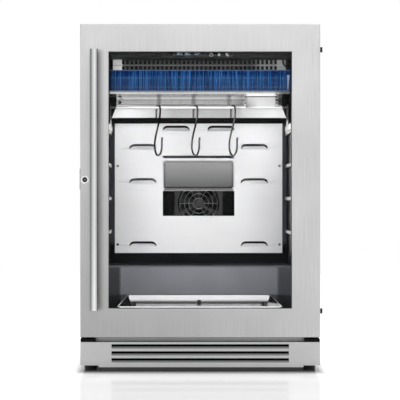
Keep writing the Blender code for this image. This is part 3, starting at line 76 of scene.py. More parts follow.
# A number flowing through a node tree, so that sums read as sums
class Flow:
    def __init__(self, tree, socket):
        self.maths = tree.maths
        self.socket = socket

    def __add__(self, other):
        return self.maths("ADD", self, other)

    def __radd__(self, other):
        return self.maths("ADD", other, self)

    def __sub__(self, other):
        return self.maths("SUBTRACT", self, other)

    def __rsub__(self, other):
        return self.maths("SUBTRACT", other, self)

    def __mul__(self, other):
        return self.maths("MULTIPLY", self, other)

    def __rmul__(self, other):
        return self.maths("MULTIPLY", other, self)

    def __truediv__(self, other):
        return self.maths("DIVIDE", self, other)

    def __rtruediv__(self, other):
        return self.maths("DIVIDE", other, self)

    def __pow__(self, other):
        return self.maths("POWER", self, other)

    def __abs__(self):
        return self.maths("ABSOLUTE", self)

    def clamped(self):
        return self.maths("MINIMUM", self.maths("MAXIMUM", self, 0.0), 1.0)

    # 0 below one level, 1 above the other
    def between(self, low, high):
        return ((self - low) / (high - low)).clamped()

    # 0 at both ends, 1 from the second level to the third
    def within(self, low, full, fade, high):
        return self.between(low, full) * (1 - self.between(fade, high))

    # 1 close to a level, falling to 0 at the given distance
    def near(self, level, reach):
        return (1 - abs(self - level) / reach).clamped()

    # 1 where this is 0, and the given tone where this is 1
    def dimTo(self, tone):
        return 1 - self * (1 - tone)


class Tree:
    def __init__(self, nodeTree):
        self.made = nodeTree
        self.place = None

    def node(self, kind, settings=None, inputs=None):
        node = self.made.nodes.new(kind)
        for name, value in (settings or {}).items():
            setattr(node, name, value)
        for name, value in (inputs or {}).items():
            self.feed(node.inputs[name], value)
        return node

    def feed(self, socket, value):
        value = getattr(value, "socket", value)
        if hasattr(value, "is_output"):
            self.made.links.new(value, socket)
        else:
            socket.default_value = value

    def maths(self, operation, first, second=0.0):
        node = self.node("ShaderNodeMath", {"operation": operation}, {0: first, 1: second})
        return Flow(self, node.outputs[0])

    def axis(self, name):
        if self.place is None:
            self.place = self.node("ShaderNodeTexCoord").outputs["Object"]
            self.split = self.node("ShaderNodeSeparateXYZ", None, {0: self.place})
        return Flow(self, self.split.outputs[name.upper()])

    # How far a point lies from the cabinet's middle, and behind the door's face
    def aside(self):
        return self.axis("x") - centreX

    def inward(self):
        return self.axis("y") - doorFace

    # How far the surface faces along an axis, from -1 to 1
    def facing(self, name):
        normal = self.node("ShaderNodeTexCoord").outputs["Normal"]
        out = self.node("ShaderNodeSeparateXYZ", None, {0: normal})
        return Flow(self, out.outputs[name.upper()])

    # Noise from 0 to 1, its scale given for each axis in waves per metre
    def noise(self, scale, detail=3.0, roughness=0.55):
        self.axis("x")
        spread = self.node("ShaderNodeVectorMath", {"operation": "MULTIPLY"}, {0: self.place, 1: scale})
        inputs = {"Vector": spread.outputs[0], "Scale": 1.0, "Detail": detail, "Roughness": roughness}
        made = self.node("ShaderNodeTexNoise", None, inputs)
        return Flow(self, made.outputs["Fac"])

    def blend(self, amount, low, high):
        # Sockets 6 and 7, and the output 2, are the node's colours
        low, high = ((*tone, 1.0) if isinstance(tone, tuple) else tone for tone in (low, high))
        return self.node("ShaderNodeMix", {"data_type": "RGBA"}, {0: amount, 6: low, 7: high}).outputs[2]


class Look(Tree):
    def __init__(self, name, constants=None):
        self.material = bpy.data.materials.new(name)
        self.material.use_nodes = True
        super().__init__(self.material.node_tree)
        self.shader = self.made.nodes["Principled BSDF"]
        self.fix(constants or {})

    def fix(self, constants):
        for key, value in constants.items():
            self.shader.inputs[key].default_value = value

    def paint(self, **inputs):
        names = {"colour": "Base Color", "glow": "Emission Color"}
        for key, value in inputs.items():
            self.feed(self.shader.inputs[names.get(key, key.capitalize())], value)

    def bump(self, height, depth):
        node = self.node("ShaderNodeBump", None, {"Height": height, "Distance": depth})
        self.feed(self.shader.inputs["Normal"], node.outputs[0])
        return self


black = (0.0, 0.0, 0.0)
white = (1.0, 1.0, 1.0)


def named(start):
    return [name for name in sorted(cadNodes) if name.startswith(start)]


def dress(material, words):
    # Each word is a solid's name, or the start of several where it ends in an underscore
    for word in words.split():
        for name in named(word) if word.endswith("_") else (word,):
            mesh = cadNodes[name].data
            mesh.materials.clear()
            mesh.materials.append(material)


# Brushed steel: fine lines along the grain, and slow clouding across the sheet
steel = {
    "across": 900.0, "along": 7.0, "clouding": 5.0, "lineShare": 0.7, "contrast": (0.32, 0.68),
    "lineRoughness": 0.14, "lineDepth": 0.00004,
}


def steelLook(name, grain, dark, light, roughness, metallic=1.0, paintedLight=None, mute=False):
    look = Look(name, {"Metallic": metallic, "Specular IOR Level": 0.0 if mute else 0.5})
    scale = tuple(steel["along"] if axis == grain else steel["across"] for axis in "xyz")
    lines = look.noise(scale, 4.0, 0.7)
    clouds = look.noise((steel["clouding"],) * 3, 2.0)
    mixed = lines * steel["lineShare"] + clouds * (1 - steel["lineShare"])
    colour = look.blend(mixed.between(*steel["contrast"]), dark, light)
    # Painted light and shade, multiplied into the colour
    if paintedLight:
        tone = paintedLight(look)
        colour = look.blend(tone, black, colour)
        # A muted look loses its metal reflection too where the painted shade darkens it
        if mute:
            look.paint(metallic=tone * metallic)
    look.paint(colour=colour, roughness=roughness + (lines - 0.5) * steel["lineRoughness"])
    return look.bump(lines, steel["lineDepth"]).material


# Painted reflection on the door's sheet: it darkens towards its foot, and more so on the handle's side
door = {
    "foot": 0.64, "rise": 0.27, "riseSpan": (0.13, 0.50), "side": 0.21, "sideFades": (0.64, 0.80),
    "shadow": 0.42, "shadowReach": 0.015, "shadowInset": 0.008, "shadowSoft": 0.004,
}


def doorPaintedLight(look):
    height = look.axis("z")
    across = look.axis("x").between(doorLow.x, doorHigh.x)
    side = across * (1 - height.between(*door["sideFades"])) * door["side"]
    tone = door["foot"] + height.between(*door["riseSpan"]) * door["rise"] + side
    # The handle shades the sheet beside it
    barLow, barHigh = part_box("door_handle")
    soft = door["shadowSoft"]
    away = look.axis("x") - barHigh.x
    shade = look.maths("GREATER_THAN", away, -door["shadowInset"])
    shade = shade * (1 - away.between(0.0, door["shadowReach"]))
    shade = shade * height.within(barLow.z - soft, barLow.z + soft, barHigh.z - soft, barHigh.z + soft)
    return (tone * (1 - shade * door["shadow"])).clamped()


# Painted reflection: by which way it faces, the handle's bar is brightest a little right of its middle, and dark down
# both edges
bar = {"middle": 0.18, "left": 0.95, "right": 0.72, "dark": 0.20, "curve": 1.6}


def barPaintedReflection(look):
    facing = look.facing("x")
    left = (bar["middle"] - facing) / bar["left"]
    right = (facing - bar["middle"]) / bar["right"]
    fall = look.maths("MAXIMUM", left, right).clamped() ** bar["curve"]
    return fall.dimTo(bar["dark"])


# Painted reflection and shade: the lock's face is dark round a paler middle, and its keyway is darkest
lock = {"dark": 0.10, "middle": (0.0010, 0.0024), "keyway": 0.15, "keywayDepth": (0.0002, 0.0006)}


def lockPaintedLight(look):
    low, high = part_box("lock_cylinder")
    x, z = look.axis("x") - (low.x + high.x) / 2, look.axis("z") - (low.z + high.z) / 2
    away = (x * x + z * z) ** 0.5
    deep = (look.axis("y") - low.y).between(*lock["keywayDepth"])
    return away.between(*lock["middle"]).dimTo(lock["dark"]) * deep.dimTo(lock["keyway"])


# Painted shade: the plinth's louvres darken inwards, and the plate a little towards its foot
kick = {
    "foot": 0.96, "footSpan": (0.016, 0.032), "edge": (0.0001, 0.0003), "edgeTone": 0.42,
    "depth": (0.0003, 0.0044), "under": (0.0710, 0.0720), "half": 0.2265,
}


def kickPaintedShade(look):
    height = look.axis("z")
    depth = look.axis("y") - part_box("kick_plate")[0].y
    foot = 1 - height.between(*kick["footSpan"])
    under = 1 - height.between(*kick["under"])
    louvres = look.maths("LESS_THAN", abs(look.aside()), kick["half"])
    blade = kick["edgeTone"] * (1 - depth.between(*kick["depth"]))
    return foot.dimTo(kick["foot"]) * (depth.between(*kick["edge"]) * under * louvres).dimTo(blade)


# Painted shade: the casing is dark behind the gap between door and plinth, and its roof is duller than its sides
casing = {
    "gap": 0.54, "gapSpan": (0.084, 0.088), "gapDepth": (0.002, 0.004), "roof": 0.55,
    "roofSpan": (-0.0020, -0.0005),
}


def casingPaintedShade(look):
    gap = 1 - look.axis("z").between(*casing["gapSpan"])
    gap = gap * (1 - (look.axis("y") - bodyLow.y).between(*casing["gapDepth"]))
    roof = (look.axis("z") - bodyHigh.z).between(*casing["roofSpan"])
    return gap.dimTo(casing["gap"]) * roof.dimTo(casing["roof"])


# Polished steel: nearly a mirror, with wiping marks and faint haze
polish = {
    "smear": 26.0, "scratch": 700.0, "contrast": (0.35, 0.65), "haze": 0.10, "hazeSpan": (0.45, 0.75),
    "depth": 0.00001,
}


def polishedSteel(name, dark, light, roughness):
    look = Look(name, {"Metallic": 1.0})
    smear = look.noise((polish["smear"],) * 3, 3.0)
    scratch = look.noise((polish["scratch"], polish["smear"], polish["scratch"]), 2.0)
    look.paint(
        colour=look.blend(smear.between(*polish["contrast"]), dark, light),
        roughness=roughness + smear.between(*polish["hazeSpan"]) * polish["haze"],
    )
    return look.bump(scratch, polish["depth"]).material


# Moulded plastic and rubber: a fine pebbled grain and slightly uneven gloss
plastic = {"slow": 14.0, "contrast": (0.35, 0.65), "gloss": 0.16}


def moulded(name, dark, light, roughness, grain=1400.0, depth=4e-5, coat=0.0, paintedLight=None):
    look = Look(name, {"Coat Weight": coat})
    fine = look.noise((grain,) * 3, 2.0)
    slow = look.noise((plastic["slow"],) * 3, 2.0)
    colour = look.blend((fine * 0.5 + slow * 0.5).between(*plastic["contrast"]), dark, light)
    # Painted light and shade, multiplied into the colour
    if paintedLight:
        colour = look.blend(paintedLight(look), black, colour)
    look.paint(colour=colour, roughness=roughness + (slow - 0.5) * plastic["gloss"])
    return look.bump(fine, depth).material


# Painted sheet steel: orange peel under a satin coat
paint = {"peel": 420.0, "slow": 9.0, "contrast": (0.3, 0.7), "gloss": 0.1, "depth": 0.00003, "shine": 0.06}


def painted(name, dark, light, roughness):
    look = Look(name, {"Specular IOR Level": paint["shine"]})
    peel = look.noise((paint["peel"],) * 3, 1.0)
    slow = look.noise((paint["slow"],) * 3, 3.0)
    look.paint(
        colour=look.blend(slow.between(*paint["contrast"]), dark, light),
        roughness=roughness + (peel - 0.5) * paint["gloss"],
    )
    return look.bump(peel, paint["depth"]).material


# Galvanised sheet: crystal patches of slightly different grey
zinc = {
    "metallic": 0.85, "patches": 110.0, "dark": (0.36, 0.37, 0.39), "light": (0.52, 0.53, 0.54),
    "roughness": 0.38, "gloss": 0.14, "depth": 0.00001,
}


def galvanised(name):
    look = Look(name, {"Metallic": zinc["metallic"]})
    look.axis("x")
    patches = look.node("ShaderNodeTexVoronoi", None, {"Vector": look.place, "Scale": zinc["patches"]})
    tone = look.node("ShaderNodeSeparateXYZ", None, {0: patches.outputs["Color"]})
    tone = Flow(look, tone.outputs[0])
    colour = look.blend(tone, zinc["dark"], zinc["light"])
    look.paint(colour=colour, roughness=zinc["roughness"] + tone * zinc["gloss"])
    return look.bump(tone, zinc["depth"]).material


# Clear glass with faint wiping marks
glass = {"alpha": 0.022, "wipe": 9.0, "fade": 0.01, "dark": (0.010, 0.014, 0.014), "light": (0.020, 0.026, 0.026)}


def clearGlass(name):
    look = Look(name, {"Roughness": 0.02, "IOR": 1.45})
    wipe = look.noise((glass["wipe"],) * 3, 3.0)
    colour = look.blend(wipe, glass["dark"], glass["light"])
    look.paint(colour=colour, alpha=glass["alpha"] + (wipe - 0.5) * glass["fade"])
    return look.material


# Painted shade: the liner is darkest behind and above the step, and darkened on both cheeks below it
liner = {
    "shine": 0.12, "shade": 0.035,
    "shadeSpan": (0.322, 0.40), "wall": 0.085, "rear": (0.520, 0.525), "back": 0.30,
    "backGlow": (0.022, 0.023, 0.027), "backSpan": (0.300, 0.315, 0.620, 0.634), "backSide": (0.200, 0.205),
    "step": (0.248, 0.256), "cheek": (0.202, 0.210), "cheekLeft": 0.20, "cheekRight": 0.32,
    "foot": (0.1765, 0.1800), "footTone": 0.30,
}


def linerPaintedLight(look):
    height, aside, inward = look.axis("z"), look.aside(), look.inward()
    above = height.between(*liner["step"])
    # Painted light: the rear wall gets a little painted brightness and glow beside the duct panel, and none under or
    # over it
    rear = inward.between(*liner["rear"])
    lit = rear * height.within(*liner["backSpan"]) * abs(aside).between(*liner["backSide"])
    deep = above * inward.between(*liner["shadeSpan"])
    shade = deep.dimTo(liner["shade"] + lit * liner["back"])
    wall = (above * (1 - rear)).dimTo(liner["wall"])
    left = (-1 * aside).between(*liner["cheek"]) * (1 - liner["cheekLeft"])
    right = aside.between(*liner["cheek"]) * (1 - liner["cheekRight"])
    cheek = 1 - (1 - above) * (left + right)
    tone = look.maths("MINIMUM", shade, look.maths("MINIMUM", wall, cheek))
    look.fix({"Specular IOR Level": liner["shine"], "Emission Strength": 1.0})
    look.paint(glow=look.blend(lit, black, liner["backGlow"]))
    # Painted shade: it is dark low down, behind and beside the tray
    return tone * (1 - height.between(*liner["foot"])).dimTo(liner["footTone"])


# The duct panel: fine level lines; painted shade fades it to its edges below, dims its upper middle and paints its
# raised face grey, darkening downwards
panel = {
    "edge": 0.12, "edgeWidth": 0.10, "edgeFade": 0.8, "fade": (0.42, 0.60), "middle": 0.22,
    "middleSpan": (0.03, 0.17), "middleFrom": (0.46, 0.52), "face": (0.10, 0.42), "faceSpan": (0.455, 0.532),
    "faceHalf": 0.0925, "faceDepth": 0.4115, "strip": (0.4445, 0.4455, 0.4545, 0.4555), "stripTone": 0.32,
}


def ductPaintedShade(look):
    low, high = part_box("duct_panel")
    middleX, half = (low.x + high.x) / 2, (high.x - low.x) / 2
    height, away = look.axis("z"), abs(look.aside())
    border = abs(look.axis("x") - middleX).between(half - panel["edgeWidth"], half)
    border = border * (1 - height.between(*panel["fade"]) * panel["edgeFade"])
    middle = (1 - away.between(*panel["middleSpan"])) * height.between(*panel["middleFrom"])
    tone = (1 - border * panel["edge"]) * (1 - middle * panel["middle"])
    # Painted shade on the raised face
    dark, light = panel["face"]
    bottom, top = panel["faceSpan"]
    face = dark + height.between(bottom, top) * (light - dark)
    narrow = look.maths("LESS_THAN", away, panel["faceHalf"])
    raised = narrow * look.maths("LESS_THAN", look.inward(), panel["faceDepth"])
    raised = raised * look.maths("LESS_THAN", height, top) * look.maths("GREATER_THAN", height, bottom)
    # Painted shade on the strip between it and the fan's window
    strip = narrow * height.within(*panel["strip"])
    return (tone * raised.dimTo(face) * strip.dimTo(panel["stripTone"])).clamped()


# Painted highlight: the hood is painted bright at both ends for the lamp's light, and darker in the middle
hood = {"middle": 0.41, "spread": (0.07, 0.19)}


def hoodPaintedLight(look):
    return (1 - abs(look.aside()).between(*hood["spread"])).dimTo(hood["middle"])


# Painted reflection and shade: the ceiling plate has painted dark reflections of the three hooks, dark lines along
# its rear bend, fold and lip, and darkens past the sensor's box
ceiling = {
    "bands": (-0.1043, -0.0139, 0.0774), "bandReach": 0.0085, "bandDepth": (0.075, 0.085), "bandDark": 0.45,
    "rear": (0.28, 0.29), "bend": 0.6868, "bendReach": 0.0022, "bendDark": 0.40, "fold": (0.6860, 0.6868),
    "foldDark": 0.36, "lip": (0.6935, 0.6975), "lipDepth": (0.067, 0.069), "lipDark": 0.55,
    "end": (0.182, 0.207), "endTone": 0.26,
}


def ceilingPaintedLight(look):
    height, aside, inward = look.axis("z"), look.aside(), look.inward()
    bands = sum(aside.near(x, ceiling["bandReach"]) for x in ceiling["bands"])
    bands = bands * inward.between(*ceiling["bandDepth"])
    rear = inward.between(*ceiling["rear"])
    bend = rear * height.near(ceiling["bend"], ceiling["bendReach"])
    fold = rear * (1 - height.between(*ceiling["fold"]))
    lip = height.between(*ceiling["lip"]) * (1 - inward.between(*ceiling["lipDepth"]))
    tone = aside.between(*ceiling["end"]).dimTo(ceiling["endTone"])
    for dark, name in ((bands, "bandDark"), (lip, "lipDark"), (bend, "bendDark"), (fold, "foldDark")):
        tone = tone * (1 - dark * ceiling[name])
    return tone


# Painted highlight: the rack's runners are bright at their feet only
runner = {"bright": (0.628, 0.636), "dark": 0.10}


def runnerPaintedHighlight(look):
    return look.axis("z").between(*runner["bright"]).dimTo(runner["dark"])


# Painted shade and reflection on the tray: its rear wall darkens downwards, its sides are dark but for a lit facet,
# and its grid darkens rearwards
tray = {
    "wall": (0.1600, 0.1668), "wallDepth": (0.262, 0.268), "wallDark": 0.10, "side": (0.1700, 0.1725),
    "corner": 0.0115, "sideDark": 0.012, "facet": (0.1590, 0.1625), "facetSide": (0.17, 0.18),
    "grid": (0.120, 0.262), "gridDark": 0.10, "gridCurve": 1.3, "rimGlow": 0.42, "rimFront": (0.117, 0.120),
    "rimBack": 0.16, "rimFade": (0.150, 0.200),
}


def trayPaintedLight(look):
    height, aside = look.axis("z"), look.aside()
    wall = (1 - height.between(*tray["wall"])).dimTo(tray["wallDark"])
    atWall = look.inward().between(*tray["wallDepth"])
    away = (abs(aside) - atWall * tray["corner"]).between(*tray["side"])
    lit = aside.between(*tray["facetSide"]) * (1 - height.between(*tray["facet"]))
    return atWall.dimTo(wall) * (away * (1 - lit)).dimTo(tray["sideDark"])


# Painted highlight and shade: the rim glows along its front for the room's light, and is darkened at the back
def rimPaintedLight(look):
    inward = look.inward()
    look.fix({"Emission Strength": tray["rimGlow"]})
    look.paint(glow=look.blend(1 - inward.between(*tray["rimFront"]), black, white))
    return inward.between(*tray["rimFade"]).dimTo(tray["rimBack"])


# Painted shade: the tray's grid darkens rearwards
def gridPaintedShade(look):
    front = (1 - look.inward().between(*tray["grid"])) ** tray["gridCurve"]
    return (1 - front).dimTo(tray["gridDark"])


# Painted highlight and shade: the rod is brightest on top and dark at its ends
rod = {"top": (-0.0052, -0.0022), "under": 0.42, "ends": (0.2135, 0.2165), "endTone": 0.08}


def rodPaintedHighlight(look):
    top = (look.axis("z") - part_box("hanging_rod")[1].z).between(*rod["top"])
    ends = abs(look.aside()).between(*rod["ends"])
    return (1 - top).dimTo(rod["under"]) * ends.dimTo(rod["endTone"])


# The lamp's cover: deep blue with fine upright streaks, darkest at its top left, with light level lines
cover = {
    "deep": (0.001, 0.026, 0.125), "mid": (0.018, 0.066, 0.203), "foot": (0.030, 0.057, 0.145),
    "footFades": (0.1, 0.6), "deepFrom": (0.66, 0.84), "streaks": 420.0, "streakRange": (0.38, 0.64),
    "streakDark": 0.38, "left": 0.06, "leftDark": 0.45, "thin": 462.0, "thinRange": (0.55, 0.68),
    "pale": (0.030, 0.160, 0.460), "depth": 0.00005, "rim": (0.15, 0.19, 0.27), "rimTop": 0.035, "rimFoot": 0.045,
    "glow": 0.45,
}
# Each line's height as a share, its reach and its colour
coverLines = (
    (0.945, 0.030, (0.008, 0.062, 0.235)),
    (0.625, 0.055, (0.036, 0.105, 0.270)),
    (0.195, 0.050, (0.050, 0.102, 0.225)),
)
# Painted highlight: a slanted bright streak near the right end, where the lamp's holder shines through
holderShine = {
    "place": 0.0060, "lean": -0.0015, "reach": 0.0040, "fall": 0.55, "sharp": 3.0,
    "span": (0.04, 0.10, 0.74, 0.78), "foot": 0.35, "colour": (0.42, 0.48, 0.62),
}


def blueCover():
    look = Look("blueCover", {"Roughness": 0.25, "Specular IOR Level": 0.03, "Emission Strength": cover["glow"]})
    low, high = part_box("lamp_cover")
    fine = look.noise((cover["streaks"], 1.0, 6.0), 1.0, 0.5)
    crisp = look.noise((cover["thin"], 1.0, 9.0), 0.0)
    height = look.axis("z").between(low.z, high.z)
    across = look.axis("x").between(low.x, high.x)
    body = look.blend(height.between(*cover["footFades"]), cover["foot"], cover["mid"])
    body = look.blend(height.between(*cover["deepFrom"]), body, cover["deep"])
    for level, reach, colour in coverLines:
        body = look.blend(height.near(level, reach), body, colour)
    shade = (1 - fine.between(*cover["streakRange"])).dimTo(cover["streakDark"])
    shade = shade * (1 - across.between(0.0, cover["left"])).dimTo(cover["leftDark"])
    body = look.blend(shade.clamped(), black, body)
    # Pale threads, most in the middle and fewer low down
    thin = crisp.between(*cover["thinRange"]) * (0.35 + 0.45 * across.near(0.45, 0.5))
    body = look.blend(thin * (0.45 + 0.55 * height.between(0.0, 0.4)), body, cover["pale"])
    edge = height.near(1.0, cover["rimTop"]) + height.near(0.0, cover["rimFoot"])
    body = look.blend(edge.clamped(), body, cover["rim"])
    line = high.x - holderShine["place"] - holderShine["lean"] * height
    bright = (look.axis("x") - line).near(0.0, holderShine["reach"]) - (1 - height) * holderShine["fall"]
    bright = (bright * holderShine["sharp"]).clamped() * height.within(*holderShine["span"])
    bright = bright * (1 - height).dimTo(holderShine["foot"])
    body = look.blend(bright, body, holderShine["colour"])
    look.paint(colour=body, glow=body)
    return look.bump(fine, cover["depth"]).material


# Painted shade and highlight: the sensor's box darkens towards its foot, most at its lower left, and a painted glow
# along its lid stands for the lamp's light
sensorBox = {
    "body": 0.80, "corner": (0.003, 0.030), "cornerTop": 0.005, "cornerDark": 0.66, "lid": 0.0065,
    "lidSoft": 0.0004, "lidGlow": 0.60,
}


def sensorPaintedLight(look):
    low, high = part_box("sensor_box")
    height = look.axis("z")
    seam, soft = high.z - sensorBox["lid"], sensorBox["lidSoft"]
    corner = 1 - (look.axis("x") - low.x).between(*sensorBox["corner"])
    corner = corner * (1 - height.between(low.z, high.z - sensorBox["cornerTop"]))
    look.fix({"Emission Strength": sensorBox["lidGlow"]})
    look.paint(glow=look.blend(height.between(seam - soft, seam + soft), black, white))
    return (1 - corner * sensorBox["cornerDark"]) * (1 - height.between(low.z, high.z)).dimTo(sensorBox["body"])


# Painted highlights on the air grille: bright plain ends, the left one brightest, a brighter right part, and a bright
# fold line between its rows of holes
grille = {
    "middle": 0.085, "left": 1.0, "right": 0.30, "end": (0.0240, 0.0258), "rise": (0.138, 0.160),
    "riseTone": 0.30, "fold": 0.7715, "foldWidth": 0.0012, "foldTone": 0.25, "foldDark": 0.9,
}


def grillePaintedLight(look):
    low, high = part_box("air_grille")
    left = 1 - (look.axis("x") - low.x).between(*grille["end"])
    right = 1 - (high.x - look.axis("x")).between(*grille["end"])
    fold = look.axis("z").near(grille["fold"], grille["foldWidth"])
    tone = grille["middle"] + left * (grille["left"] - grille["middle"])
    tone = tone + right * (grille["right"] - grille["middle"])
    tone = tone + look.aside().between(*grille["rise"]) * grille["riseTone"]
    return (tone + fold * grille["foldTone"] - left * fold * grille["foldDark"]).clamped()


# Steels: the solids in each, its grain, dark and light colour, roughness, metal, painted light and muting
steels = {
    "steelUpright": ("outer_casing", "z", (0.44, 0.44, 0.445), (0.62, 0.62, 0.625), 0.30, 1.0, casingPaintedShade),
    "doorSteel": ("door_skin", "z", (0.445, 0.445, 0.445), (0.612, 0.612, 0.612), 0.30, 1.0, doorPaintedLight),
    "handleSteel": ("door_handle", "z", (0.60, 0.60, 0.605), (0.80, 0.80, 0.805), 0.17, 1.0, barPaintedReflection),
    "kickSteel": ("kick_plate", "x", (0.40, 0.40, 0.402), (0.48, 0.48, 0.482), 0.32, 1.0, kickPaintedShade),
    "ceilingSteel": ("ceiling_plate", "x", (0.70, 0.70, 0.705), (0.86, 0.86, 0.865), 0.16, 1.0, ceilingPaintedLight),
    "traySteel": ("drip_tray", "x", (0.80, 0.80, 0.81), (0.94, 0.94, 0.95), 0.16, 0.55, trayPaintedLight, True),
    "gridSteel": ("drip_tray_grid", "x", (0.86, 0.86, 0.87), (0.96, 0.96, 0.97), 0.22, 1.0, gridPaintedShade, True),
    "rodSteel": ("hanging_rod", "x", (0.86, 0.86, 0.86), (0.96, 0.96, 0.96), 0.34, 0.30, rodPaintedHighlight, True),
    "rimSteel": ("", "x", (0.86, 0.86, 0.87), (0.97, 0.97, 0.98), 0.40, 0.20, rimPaintedLight),
    "runnerSteel": ("rack_runner_", "z", (0.70, 0.68, 0.66), (0.88, 0.86, 0.84), 0.34, 0.6, runnerPaintedHighlight, True),
    "lockSteel": ("lock_cylinder", "x", (0.40, 0.40, 0.405), (0.56, 0.56, 0.565), 0.16, 1.0, lockPaintedLight),
    "satinSteel": ("", "x", (0.66, 0.66, 0.67), (0.84, 0.84, 0.85), 0.34),
    "keeperSteel": ("lock_keeper", "z", (0.60, 0.60, 0.61), (0.76, 0.76, 0.77), 0.30),
    "grilleSteel": ("air_grille", "x", (0.70, 0.69, 0.68), (0.88, 0.87, 0.86), 0.40, 0.45, grillePaintedLight),
    "ductSteel": ("duct_panel", "x", (0.80, 0.80, 0.81), (0.96, 0.96, 0.97), 0.36, 0.25, ductPaintedShade),
    "hoodSteel": ("deflector_hood", "x", (0.72, 0.72, 0.72), (0.86, 0.86, 0.86), 0.30, 0.35, hoodPaintedLight),
    "railSteel": ("shelf_rail_", "y", (0.66, 0.64, 0.62), (0.84, 0.82, 0.80), 0.30),
    "copperTube": ("discharge_pipe", "x", (0.55, 0.24, 0.13), (0.72, 0.36, 0.22), 0.30),
    "rivetSteel": ("", "z", (0.012, 0.012, 0.013), (0.030, 0.030, 0.032), 0.5, 0.2, None, True),
    "darkSteel": ("", "z", (0.045, 0.045, 0.047), (0.085, 0.085, 0.088), 0.30, 0.8),
}
# Plastics: the solids in each, its dark and light colour, roughness, grain, the grain's depth, coat and painted light
blackParts = "control_housing condenser_fan_ evaporator_fan_ mains_inlet glazing_spacer"
plastics = {
    "linerPlastic": ("inner_liner", (0.205, 0.211, 0.232), (0.255, 0.262, 0.286), 0.34, 900.0, 2e-5, 0.0, linerPaintedLight),
    "framePlastic": ("door_inner_frame", (0.026, 0.027, 0.032), (0.036, 0.037, 0.043), 0.34, 900.0, 2e-5, 0.1),
    "blackPlastic": (blackParts, (0.012, 0.012, 0.013), (0.020, 0.020, 0.021), 0.42),
    "blackRubber": ("door_gasket side_spacer_ foot_", (0.01, 0.01, 0.01), (0.022, 0.022, 0.022), 0.72, 600.0, 1e-4),
    "whitePlastic": ("", (0.84, 0.84, 0.84), (0.92, 0.92, 0.92), 0.38),
    "sensorPlastic": ("sensor_box", (0.84, 0.84, 0.84), (0.92, 0.92, 0.92), 0.38, 1400.0, 4e-5, 0.0, sensorPaintedLight),
    "foamYellow": ("insulation_foam", (0.58, 0.47, 0.22), (0.74, 0.64, 0.38), 0.9, 300.0, 4e-4),
    "controlBlack": ("control_glass", (0.006, 0.006, 0.007), (0.010, 0.010, 0.011), 0.08, 900.0, 5e-6, 0.3),
    "lampTube": ("uv_lamp", (0.42, 0.55, 0.90), (0.55, 0.66, 0.95), 0.2),
}
for make, table in ((steelLook, steels), (moulded, plastics)):
    for name, (solids, *values) in table.items():
        dress(make(name, *values), solids)
dress(polishedSteel("hookSteel", (0.16, 0.16, 0.165), (0.30, 0.30, 0.305), 0.12), "meat_hook_")
dress(polishedSteel("chromeSteel", (0.80, 0.80, 0.81), (0.90, 0.90, 0.91), 0.04), "lock_ring")
dress(painted("blackSteel", (0.002, 0.002, 0.002), (0.005, 0.005, 0.005), 0.46),
      "rear_service_cover compressor lower_hinge_plate left_rest_plate upper_hinge_bracket")
dress(galvanised("zincSteel"), "base_pan condenser_coil evaporator_coil lock_cam")
dress(clearGlass("paneGlass"), "glazing_outer_pane glazing_inner_pane")
dress(blueCover(), "lamp_cover")
print("finishes made")


right = Vector((1, 0, 0))
up = Vector((0, 0, 1))
forward = Vector((0, -1, 0))
rearward = -forward


# Builders of the small pieces that the solids leave out
def circle(radius, steps):
    # Places round a level circle
    angles = (math.tau * i / steps for i in range(steps))
    return [Vector((radius * math.cos(a), radius * math.sin(a), 0)) for a in angles]


def turnedInto(bm, profile, place, direction, steps):
    # A profile of (radius, height) turned about a line through the place
    turn = direction.to_track_quat("Z", "Y").to_matrix()
    rings = []
    for radius, height in profile:
        ring = circle(radius, steps if radius > 0 else 1)
        rings.append([bm.verts.new(place + turn @ Vector((p.x, p.y, height))) for p in ring])
    for here, there in zip(rings, rings[1:]):
        for i in range(steps):
            j = (i + 1) % steps
            corners = [here[i % len(here)], here[j % len(here)], there[j % len(there)], there[i % len(there)]]
            bm.faces.new(list(dict.fromkeys(corners)))


def wireInto(bm, points, radius, sides, closed=False):
    # A round wire swept along points
    rings = []
    count = len(points)
    for i, point in enumerate(points):
        after = points[(i + 1) % count] if closed or i < count - 1 else point
        before = points[i - 1] if closed or i > 0 else point
        turn = (after - before).to_track_quat("Z", "Y").to_matrix()
        rings.append([bm.verts.new(point + turn @ p) for p in circle(radius, sides)])
    pairs = list(zip(rings, rings[1:])) + ([(rings[-1], rings[0])] if closed else [])
    for here, there in pairs:
        for i in range(sides):
            j = (i + 1) % sides
            bm.faces.new((here[i], here[j], there[j], there[i]))
    if not closed:
        bm.faces.new(rings[0][::-1])
        bm.faces.new(rings[-1])


def prismInto(bm, outline, origin, across, depth):
    # An upright flat outline, given thickness against the third direction
    away = across.cross(up).normalized() * depth
    front = [bm.verts.new(origin + across * u + up * v + away) for u, v in outline]
    back = [bm.verts.new(origin + across * u + up * v) for u, v in outline]
    bm.faces.new(front)
    bm.faces.new(back[::-1])
    for i in range(len(outline)):
        j = (i + 1) % len(outline)
        bm.faces.new((back[i], back[j], front[j], front[i]))


def rounded(points, reach, steps=5):
    # The same path with its corners rounded
    path = [points[0]]
    for before, corner, after in zip(points, points[1:], points[2:]):
        start = corner + (before - corner).normalized() * reach
        end = corner + (after - corner).normalized() * reach
        for i in range(steps + 1):
            share = i / steps
            path.append(start.lerp(corner, share).lerp(corner.lerp(end, share), share))
    return path + [points[-1]]


def addPiece(name, bm, material, body="cabinet", smooth=True, sharpAngle=40):
    mesh = bpy.data.meshes.new(name)
    bmesh.ops.recalc_face_normals(bm, faces=bm.faces)
    bm.to_mesh(mesh)
    bm.free()
    mesh.materials.append(bpy.data.materials[material])
    if smooth:
        for face in mesh.polygons:
            face.use_smooth = True
        mesh.set_sharp_from_angle(angle=math.radians(sharpAngle))
    piece = addObject(name, mesh)
    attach(piece, body)


